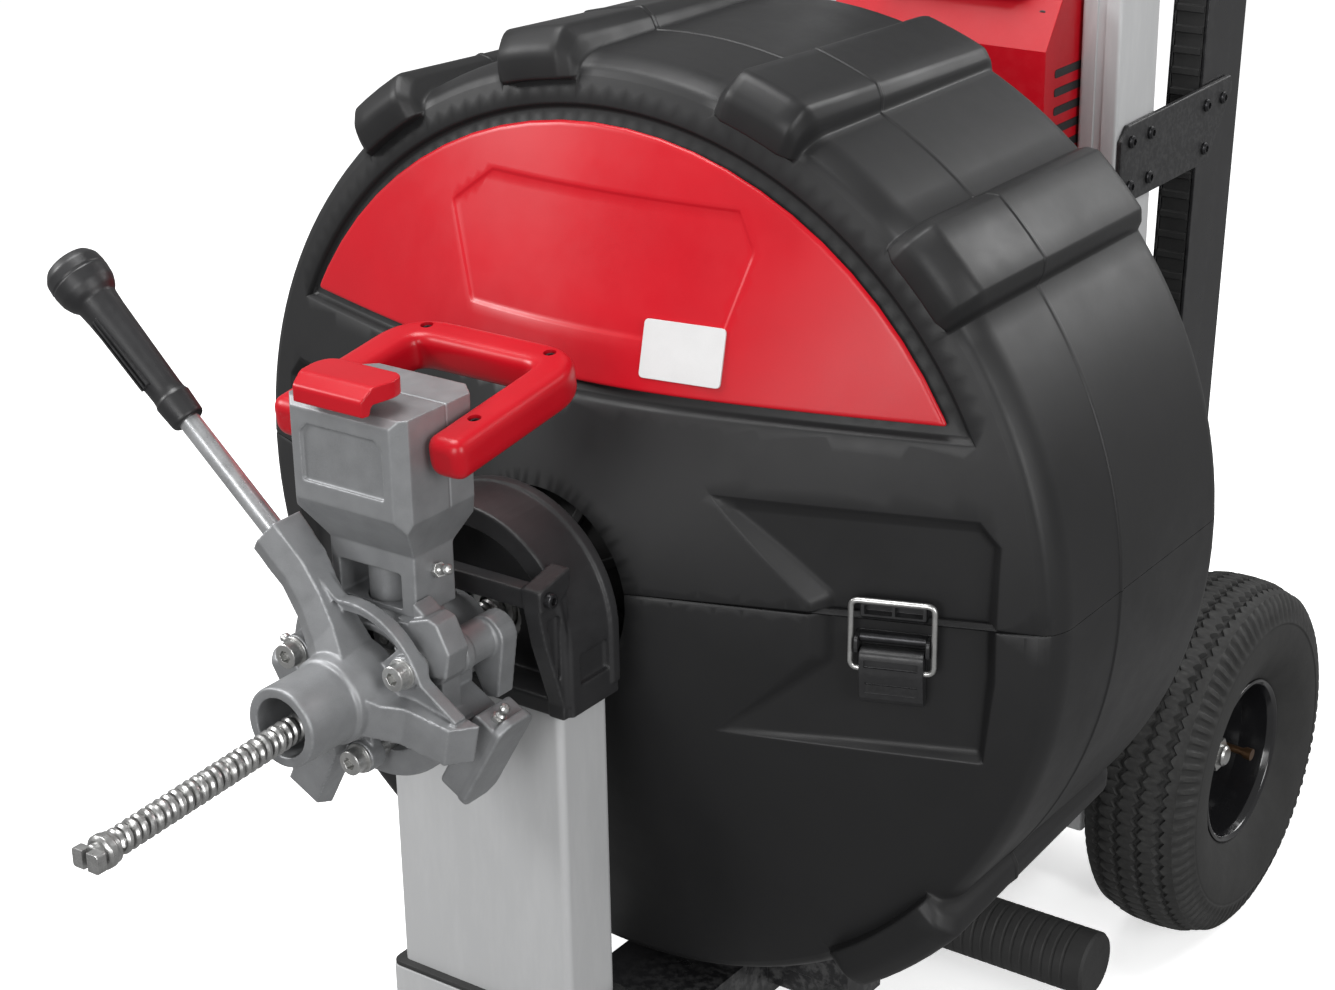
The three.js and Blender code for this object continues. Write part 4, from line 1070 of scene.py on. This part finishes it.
# ------------------------------------------------------------------ drum and its drive
def make_drum():
    radius, back, wall = 276, 330, 4

    def drum_cone(r):
        return cone(r) + 26

    profile = [(0, back), (radius - 8, back), (radius, back - 8), (radius, 157),
        (radius - 8, drum_cone(radius - 8)), (15.6, drum_cone(15.6)), (15.6, drum_cone(15.6) + wall),
        (radius - 14, drum_cone(radius - 14) + wall), (radius - wall, 162), (radius - wall, back - 11),
        (radius - wall - 7, back - wall), (0, back - wall)]
    shell = lathe(fillet(profile, [0, 4, 4, 6, 6, 0, 0, 4, 4, 4, 4, 0], 3), 144)
    ribs = []
    for i in range(8):
        rib = prism(fillet(rect(40, 255, -3, 3), 1.5, 2), 0, 6, "y", 0.8)
        lean = Matrix.Translation((0, drum_cone(0) - 4.5, 0)) @ Matrix.Rotation(
            math.atan(CONE_SLOPE), 4, "Z")
        ribs.append(moved(rib, about_y(22.5 + 45 * i) @ lean))
    piece("cable_drum_skin", merge(shell, *ribs), ON_AXIS, "drum", "drum_black", DRUM, ["cable_drum"])

    turns, first, mid_r, wire = 7, 201, 261.4, 7.4
    steps = 96 * turns
    angles = [2 * pi * turns * i / steps for i in range(steps + 1)]
    path = [(mid_r * cos(a), first + 107 * i / steps, mid_r * sin(a)) for i, a in enumerate(angles)]
    piece("cable_coil_turns", tube(path, wire, 10), ON_AXIS, "drum", "spring_steel", SPRING, ["cable_coil"])

    elbow = fillet([(0, 0.6), (0, 205), (62, 264), (119.2, 269)], [0, 55, 20, 0], 8, closed=False)
    bend = [(x, y, 0) for x, y in elbow]
    bore = [(0, -2, 0), *bend[1:-1], (122, 269.2, 0)]
    piece("drum_guide_tube_bent", cut(tube(bend, 14.8, 32), tube(bore, 10.5, 32)), ON_AXIS, "drum",
        "bright_steel", STEEL, ["drum_guide_tube"])

    turned = (
        ("drum_shaft_turned", "drum_shaft", "drum", "bright_steel", STEEL, 64,
         fillet([(0, 330.3), (60, 330.3), (60, 336), (20, 340), (14, 394), (14, 596), (0, 596)], 1, 2)),
        ("front_bearing_race", "front_bearing", "root", "bright_steel", STEEL, 72,
         fillet([(15.4, 4), (20, 4), (20.8, 6), (30.4, 6), (31.2, 4), (36.2, 4), (36.2, 18), (15.4, 18)],
                0.5, 2)),
        ("driven_pulley_turned", "driven_pulley", "drum", "grey_casting", CASTING, 96,
         fillet([(14.6, 580), (62, 580), (62, 581), (60, 582), (60, 592), (62, 593), (62, 594), (50, 594),
                 (48, 590), (26, 590), (24, 594), (14.6, 594)], 0.5, 2)),
    )
    for name, node, body, slot, material, segments, profile in turned:
        piece(name, lathe(profile, segments), ON_AXIS, body, slot, material, [node])


def make_drive():
    motor_z = centre_of("motor_pulley").z
    place = MACHINE @ Matrix.Translation((0, 0, motor_z))
    pulley = fillet([(5.4, 580), (24, 580), (24, 581), (22, 582), (22, 592), (24, 593), (24, 594),
        (5.4, 594)], 0.4, 2)
    piece("motor_pulley_turned", lathe(pulley, 64), place, "motor_shaft_pulley", "bright_steel", STEEL,
        ["motor_pulley"])
    can = fillet([(0, 525), (44, 525), (46, 527), (46, 570), (44, 572), (16, 572), (16, 573.5), (5, 573.5),
        (5, 594), (0, 594)], 0.8, 2)
    piece("drive_motor_can", lathe(can, 72), place, "root", "bright_steel", STEEL, ["drive_motor"])

    vents = []
    for sign in BOTH:
        for i in range(6):
            z = 584 + 13 * i
            louvre = fillet(rect(512, 562, z, z + 6), 2.5, 3)
            vents.append(prism(louvre, sign * 86 - 1.4, sign * 86 + 0.6, "x", 0.5))
    piece("motor_housing_louvres", merge(*vents), MACHINE, "root", "black_grip", GRIP)
    corners = [(x, z) for x in (-74, 74) for z in (580, 690)]
    screws = [moved(socket_screw(4.2, 2.4, 2.2), aimed((x, 499 if z < 600 else 516, z), (0, -1, 0)))
        for x, z in corners]
    piece("motor_housing_screws", merge(*screws), MACHINE, "root", "bright_steel", DARK)

    low, high = corners_of("battery")
    outline = fillet([(low.x, low.y + 8), (low.x + 8, low.y), (high.x - 8, low.y), (high.x, low.y + 8),
        (high.x, high.y - 8), (high.x - 8, high.y), (low.x + 8, high.y), (low.x, high.y - 8)], 4, 3)
    case = prism(outline, low.z + 14, high.z, "z", 5, 4)
    neck = prism(inset(outline, 7), low.z, low.z + 20, "z", 1)
    grooves = []
    for i in range(5):
        z = low.z + 34 + 9 * i
        for sign in BOTH:
            grooves.append(block(sign * 59 - 2.4, sign * 59 + 2.4, low.y + 18, high.y - 18, z, z + 3.5,
                0.4, 1))
    grip = block(-26, 26, low.y + 22, high.y - 22, high.z - 5, high.z + 3, 1, 6)
    piece("battery_case", cut(merge(case, neck), *grooves, grip), MACHINE, "battery_pack", "black_grip",
        GRIP, ["battery"], 40)
    band = prism(inset(outline, -0.2), low.z + 26, low.z + 29, "z", 0.3)
    handle = block(-21, 21, -6, 6, -2.6, 2.4, 1.5, 2)
    grab = moved(handle, Matrix.Translation((0, (low.y + high.y) / 2, high.z - 3)))
    piece("battery_red_band", merge(band, grab), MACHINE, "battery_pack", "red_plastic", RED)


# ------------------------------------------------------------------ front post and bracket
def rounded_plan(node, grow=0.0, corner=5.0):
    low, high = corners_of(node)
    return fillet(rect(low.x - grow, high.x + grow, low.y - grow, high.y + grow), corner, 6)


def make_post():
    low, high = corners_of("front_post")
    post = cut(prism(rounded_plan("front_post"), low.z, high.z, "z", 0.6),
        prism(rounded_plan("front_post", -4, 3), low.z - 1, high.z + 1, "z"))
    piece("front_post_tube", post, MACHINE, "root", "extrusion", EXTRUSION, ["front_post"], 40)
    low, high = corners_of("front_post_sleeve")
    sleeve = cut(prism(rounded_plan("front_post_sleeve", 0, 7), low.z, high.z, "z", 1.2),
        prism(rounded_plan("front_post", 0.3, 5), 20, high.z + 1, "z"))
    piece("post_sleeve_tube", sleeve, MACHINE, "root", "extrusion", EXTRUSION, ["front_post_sleeve"], 40)
    collar = cut(prism(rounded_plan("front_post_sleeve", -0.4, 7), high.z, high.z + 3.2, "z", 0.8),
        prism(rounded_plan("front_post", 0.2, 5), high.z - 1, high.z + 5, "z"))
    piece("post_wiper_seal", collar, MACHINE, "root", "rubber", RUBBER)
    low, high = corners_of("front_foot_pad")
    pad = prism(rounded_plan("front_foot_pad", 0, 14), low.z, high.z, "z", 2, 3)
    slots = [block(x - 2, x + 2, low.y - 5, low.y + 3, -1, high.z - 4, 0.2, 0.5) for x in range(-60, 61, 15)]
    piece("foot_pad_rubber", cut(pad, *slots), MACHINE, "root", "rubber", RUBBER, ["front_foot_pad"], 40)


def make_bracket():
    base_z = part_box("post_bracket")[0].z / MM - AXIS_Z
    outside = [(74, base_z), *arc(74, 0, 180, 40), (-74, base_z)]
    inside = [(61, base_z - 1), *arc(61, 0, 180, 40), (-61, base_z - 1)]
    arch = cut(prism(outside, -22, 22, "y", 1.2), prism(inside, -24, 24, "y"))
    lip = cut(prism([(75.6, base_z + 8), *arc(75.6, 0, 180, 40), (-75.6, base_z + 8)], 14, 21.6, "y", 1),
        prism(inside, 10, 24, "y"))
    web = prism([(62, base_z), *arc(62.5, 0, 180, 30), (-62, base_z)], 4, 18, "y")
    ring = lathe([(22, -2), (45, -2), (46, 4), (46, 5), (36.5, 5), (36.5, 3.4), (22, 3.4)], 64)
    face = prism([(64, base_z + 4), *arc(62.5, 0, 180, 30), (-64, base_z + 4)], -2, 4.5, "y")
    base = prism(fillet(rect(-71, 71, -26, 26), 7, 4), base_z, base_z + 11, "z", 1.2)
    cheek = [(-20, base_z), (-20, 46), (-46, 46), (-46, 32), (-41, 10), (-27, base_z + 9), (-27, base_z)]
    cheeks = [prism(cheek, s * 66 - 5.5, s * 66 + 5.5, "x", 0.8) for s in BOTH]
    hollow = fillet([(-39, 26), (-36, 8), (-28, base_z + 20), (-28, 26)], 2, 2)
    hollows = [prism(hollow, s * 71.5 - 3, s * 71.5 + 3, "x") for s in BOTH]
    shelf = fillet([(-46, 33), (-46, 46), (-18, 52), (-18, 40), (-30, 33)], 2, 2)
    shelves = [prism(shelf, s * 66 - 6.5, s * 66 + 6.5, "x", 1) for s in BOTH]
    ribs = [tube([(s * 70, -22, base_z + 8), (s * 70, -24, 12), (s * 69.5, -30, 40)], 3, 12) for s in BOTH]
    bar = block(-62, 62, -45, -34, 33, 45, 1, 2)
    pockets = [block(s * 73.5 - 3, s * 73.5 + 3, -13, 13, base_z + 18, -4, 0.4, 2) for s in BOTH]
    body = cut(merge(arch, lip, web, ring, face, base, *cheeks, *shelves, *ribs, bar), *pockets, *hollows,
        rod(36.5, 3.4, 19, "y", (0, 0), 0.1, 64), rod(22, -30, 5, "y", (0, 0), 0.1, 64))
    piece("bracket_casting", cast(body, 0.95, 1, 90000), ON_AXIS, "root", "black_casting", BLACK_CAST,
        ["post_bracket"], 60)
    spots = [((x, y, base_z + 11), (0, 0, 1)) for x in (-66, 66) for y in (-20, 20)]
    spots += [((s * 72.5, -39, 39.5), (s, 0, 0)) for s in BOTH]
    screws = [moved(socket_screw(4.4, 4.2, 2.3), aimed(at, direction)) for at, direction in spots]
    piece("bracket_screws", merge(*screws), ON_AXIS, "root", "bright_steel", DARK)


# ------------------------------------------------------------------ wheels and axle
# Half the tread's width and whether a groove runs there, from the middle outwards.
HALF_CROWN = ((0, 0), (5.2, 0), (6.8, 1), (9.4, 1), (11, 0), (16, 0), (20.6, 0), (22.2, 1), (24.9, 1),
    (26.5, 0), (30.5, 0))
# The sidewall from the tread to the bead, as radius and X.
SIDEWALL = ((129, 33.5), (127.5, 35), (124, 37.6), (119, 39.8), (117.8, 40.2), (114, 41.3), (110, 41.9),
    (108.6, 42), (107.8, 41.4), (106.6, 41.4), (105.8, 41.9), (98, 42), (86, 40.8), (74, 35.6), (66, 30.4),
    (63.4, 29), (61.2, 26.6), (60, 23), (59.6, 15))
TREAD_R, ZIGZAG, GROOVE_DEPTH, SIPE_DEPTH, SHOULDER_RIB = 135.5, 1.7, 3.3, 1.3, 1.5


def make_tyre(side, place):
    """A pneumatic tyre with four zigzag grooves, sipes between them and ribbed shoulders."""
    teeth, per_tooth = 84, 6
    crown = [*((-x, groove) for x, groove in reversed(HALF_CROWN[1:])), *HALF_CROWN]
    total = teeth * per_tooth
    loops = []
    for i in range(total):
        angle, phase = 2 * pi * i / total, i % per_tooth
        wave = abs(phase / per_tooth * 2 - 1) * 2 - 1
        rib = SHOULDER_RIB if phase < 3 else 0.0
        drops = [rib if 112 < r < 128 else 0.0 for r, x in SIDEWALL]
        flank = [(r - 0.4 * drop, x - drop) for (r, x), drop in zip(SIDEWALL, drops)]
        loop = [(r, -x) for r, x in reversed(flank)]
        for x, groove in crown:
            r = TREAD_R - 6.6 * (abs(x) / 31) ** 2.6
            inner = abs(x) < 29
            sipe = phase == 0 and inner and not groove and x not in (0, 16, -16)
            loop.append((r - (GROOVE_DEPTH * groove + SIPE_DEPTH * sipe), x + ZIGZAG * wave * inner))
        loops.append([(x, r * cos(angle), r * sin(angle)) for r, x in [*loop, *flank]])
    piece(f"tyre_tread_{side}", skin(loops, closed=True), place, f"wheel_{side}", "tyre", TYRE,
        [f"tyre_{side}"], 38)


# The pressed rim with its hub, as radius and X: hub, disc, back lip, barrel and front lip.
RIM_SECTION = ((8.4, -38), (18, -38), (18, -16), (42, -13.5), (54.5, -16), (56.6, -24), (58.6, -28.8),
    (61, -30.6), (62.9, -29.8), (62.4, -28.2), (60.2, -27), (58.8, -23), (57.6, -8), (58.4, 8), (58.8, 23),
    (60.2, 27), (62.4, 28.2), (62.9, 29.8), (61, 30.6), (58.6, 28.8), (56.8, 24), (55.6, 4), (52.5, -9),
    (44, -9), (30, -6), (18, -6), (18, 4), (8.4, 4))


def make_wheels():
    for side, sign in SIDES:
        middle = centre_of(f"tyre_{side}")
        place = MACHINE @ Matrix.Translation(middle)
        if sign < 0:
            place = place @ Matrix.Rotation(pi, 4, "Z")
        make_tyre(side, place)
        rim = lathe(fillet(RIM_SECTION, 0.6, 3), 96, "x")
        piece(f"wheel_rim_pressed_{side}", rim, place, f"wheel_{side}", "frame_black", GLOSS,
            [f"wheel_rim_{side}"])
        valve = lathe([(0, 19), (3.9, 19), (3.9, 30), (3, 31), (2.8, 50), (4.6, 53), (4.6, 58), (0, 58)],
            24, "z")
        lean = aimed((-28, 17, 1), (1, 0, -0.06))
        piece(f"tyre_valve_{side}", moved(valve, lean), place, f"wheel_{side}", "rubber", BRASS)
        bolts = []
        for i in range(4):
            bolt = prism(hex_loop(5.2), 0, 3.4, "z", 0.5)
            bolts.append(moved(bolt, aimed((-6.6, *polar(34, 45 + 90 * i)), (1, 0, 0))))
        piece(f"rim_bolts_{side}", merge(*bolts), place, f"wheel_{side}", "bright_steel", STEEL)
    centre = centre_of("axle")
    hub_end = centre_of("tyre_right").x + 4.3
    place = MACHINE @ Matrix.Translation((0, centre.y, centre.z))
    shapes = [rod(8, -hub_end - 13, hub_end + 13, "x", (0, 0), 1.5, 40)]
    for sign in BOTH:
        shapes.append(rod(12.5, sign * 138 - 19.6, sign * 138 + 19.6, "x", (0, 0), 0.8, 40))
        nut = moved(prism(hex_loop(12.8), 0, 6.4, "z", 0.9),
            aimed((sign * (hub_end + 2), 0, 0), (sign, 0, 0)))
        washer = moved(lathe(rect(8, 12.9, 0, 1.9), 40, "z"), aimed((sign * hub_end, 0, 0), (sign, 0, 0)))
        shapes += [nut, washer]
    piece("axle_and_nuts", merge(*shapes), place, "root", "bright_steel", STEEL, ["axle"])


def make_foot_bar():
    middle = centre_of("foot_bar")
    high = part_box("foot_bar")[1].x / MM
    place = MACHINE @ Matrix.Translation((0, middle.y, middle.z))
    shapes = [rod(17, -high + 4, high - 4, "x", (0, 0), 1, 48)]
    for sign in BOTH:
        profile = [(0, 60), (22.6, 60), (24, 61.5)]
        for i in range(15):
            x = 68 + 8 * i
            profile += [(24, x), (23.3, x + 0.8), (23.3, x + 2), (24, x + 2.8)]
        profile += [(24, high - 2.6), (22.4, high - 0.4), (0, high - 0.4)]
        sleeve = lathe(profile, 56, "x")
        if sign < 0:
            sleeve.transform(Matrix.Rotation(pi, 4, "Z"))
        shapes.append(sleeve)
    piece("foot_bar_sleeves", merge(*shapes), place, "root", "rubber", RUBBER, ["foot_bar"])


# ------------------------------------------------------------------ stair tracks and mast
def make_tracks():
    low, high = corners_of("track_drive_shaft")
    top = Vector((0, (low.y + high.y) / 2, (low.z + high.z) / 2))
    for side, sign in SIDES:
        foot = centre_of(f"track_idler_{side}")
        run = top - Vector((0, foot.y, foot.z))
        length, lean = run.length, math.atan2(run.y, run.z)
        place = MACHINE @ Matrix.Translation(foot) @ Matrix.Rotation(-lean, 4, "X")

        def stadium(radius, steps=24):
            return [*arc(radius, 180, 360, steps), *arc(radius, 0, 180, steps, (0, length))]

        belt = cut(prism(stadium(32.6), -11, 11, "x", 0.6), prism(stadium(30.4), -13, 13, "x"))
        cleats = []
        pitch, profile = 15.2, ((32, -3.2), (34.9, -2), (34.9, 2), (32, 3.2))
        for i in range(int(length / pitch)):
            for face in BOTH:
                cleat = [(face * y, pitch * (i + 0.5) + z) for y, z in profile]
                cleats.append(prism(cleat, -10.6, 10.6, "x"))
        for end in (0, 1):
            for i in range(7):
                angle = pi * (i + 0.5) / 7 + (0 if end else pi)
                turn = Matrix.Translation((0, 0, end * length)) @ Matrix.Rotation(angle, 4, "X")
                cleats.append(moved(prism(profile, -10.6, 10.6, "x"), turn))
        piece(f"track_belt_cleated_{side}", merge(belt, *cleats), place, "root", "rubber", RUBBER,
            [f"track_belt_{side}"], 30)
        wheel = [(0, -16), (6, -16), (6, -10), (29, -10), (29.5, -9.4), (29.5, -6), (26, -5), (26, 5),
            (29.5, 6), (29.5, 9.4), (29, 10), (6, 10), (6, 16), (0, 16)]
        piece(f"track_idler_turned_{side}", lathe(wheel, 64, "x"), place, f"idler_{side}", "bright_steel",
            STEEL, [f"track_idler_{side}"])
    place = MACHINE @ Matrix.Translation(top)
    pulleys = [lathe([(0, sign * 104 - 10), (29, sign * 104 - 10), (29.5, sign * 104 - 9),
        (29.5, sign * 104 + 9), (29, sign * 104 + 10), (0, sign * 104 + 10)], 64, "x") for sign in BOTH]
    piece("track_drive_turned", merge(rod(8, -120, 120, "x", (0, 0), 1, 40), *pulleys), place, "track_drive",
        "bright_steel", STEEL, ["track_drive_shaft"])


def make_mast_details():
    for side, sign in SIDES:
        low, high = corners_of(f"mast_bracket_{side}")
        face = high.x if sign > 0 else low.x
        spots = [(y, z) for y in (low.y + 14, low.y + 44, high.y - 46, high.y - 18)
            for z in (low.z + 12, high.z - 14)]
        spots = [(y, z) for y, z in spots if y < high.y - 30 or z > low.z + 20]
        heads = [moved(socket_screw(4.6, 3.2, 2.4, dome=1.0), aimed((face, y, z), (sign, 0, 0)))
            for y, z in spots]
        piece(f"mast_bracket_screws_{side}", merge(*heads), MACHINE, "root", "bright_steel", DARK)
        low, high = corners_of(f"upright_{side}")
        x = (low.x + high.x) / 2
        plan = fillet(rect(low.x, high.x, low.y, high.y), 3, 4)
        groove = rect(x - 3.4, x + 3.4, low.y - 1, low.y + 1.1)
        tools = [prism(inset(plan, 2.6), low.z - 1, high.z + 1, "z"),
            prism(groove, low.z - 1, high.z + 1, "z"),
            rod(8.5, low.x - 3, high.x + 3, "x", (centre_of("axle").y, centre_of("axle").z), 0.1, 32)]
        piece(f"upright_extrusion_{side}", cut(prism(plan, low.z, high.z, "z", 0.5), *tools), MACHINE,
            "root", "extrusion", EXTRUSION, [f"upright_{side}"], 40)
        bush = cut(prism(inset(plan, -1.6), high.z - 18, high.z + 4, "z", 1.2),
            prism(inset(plan, 0.2), high.z - 20, high.z, "z"),
            prism(inset(plan, 3.9), high.z - 2, high.z + 6, "z"))
        piece(f"upright_cap_{side}", bush, MACHINE, "root", "black_grip", GRIP)


CAD_FINISHES = (
    (("mast_bracket_right", "mast_bracket_left", "rear_bearing_block", "belt_guard"), BLACK_CAST, 1.2),
    (("base_frame", "telescopic_handle"), PAINT, 1.2),
    (("track_rail_right", "track_rail_left"), PAINT, 0.6),
    (("motor_housing",), RED, 2.5),
    (("power_switch",), GRIP, 0.8),
    (("drive_belt",), RUBBER, 0.0),
)


def dress_cad_nodes():
    """Nodes whose own shape is right keep it, with softened edges and a detailed finish."""
    for names, material, width in CAD_FINISHES:
        for name in names:
            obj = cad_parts[name]
            obj.data.materials.clear()
            obj.data.materials.append(material)
            weld = obj.modifiers.new("weld", "WELD")
            weld.merge_threshold = 0.00002
            flat = obj.modifiers.new("flatten", "DECIMATE")
            flat.decimate_type, flat.angle_limit = "DISSOLVE", radians(1.5)
            if width:
                edge = obj.modifiers.new("edge", "BEVEL")
                edge.width, edge.segments = width * MM, 3
                edge.limit_method, edge.angle_limit = "ANGLE", radians(35)
                edge.harden_normals = False


for make in (make_camera, make_studio, make_shell, make_latches, make_feed_body, make_tower,
        make_carry_handle, make_rollers, make_yoke, make_cable, make_drum, make_drive, make_post,
        make_bracket, make_wheels, make_foot_bar, make_tracks, make_mast_details, dress_cad_nodes):
    make()
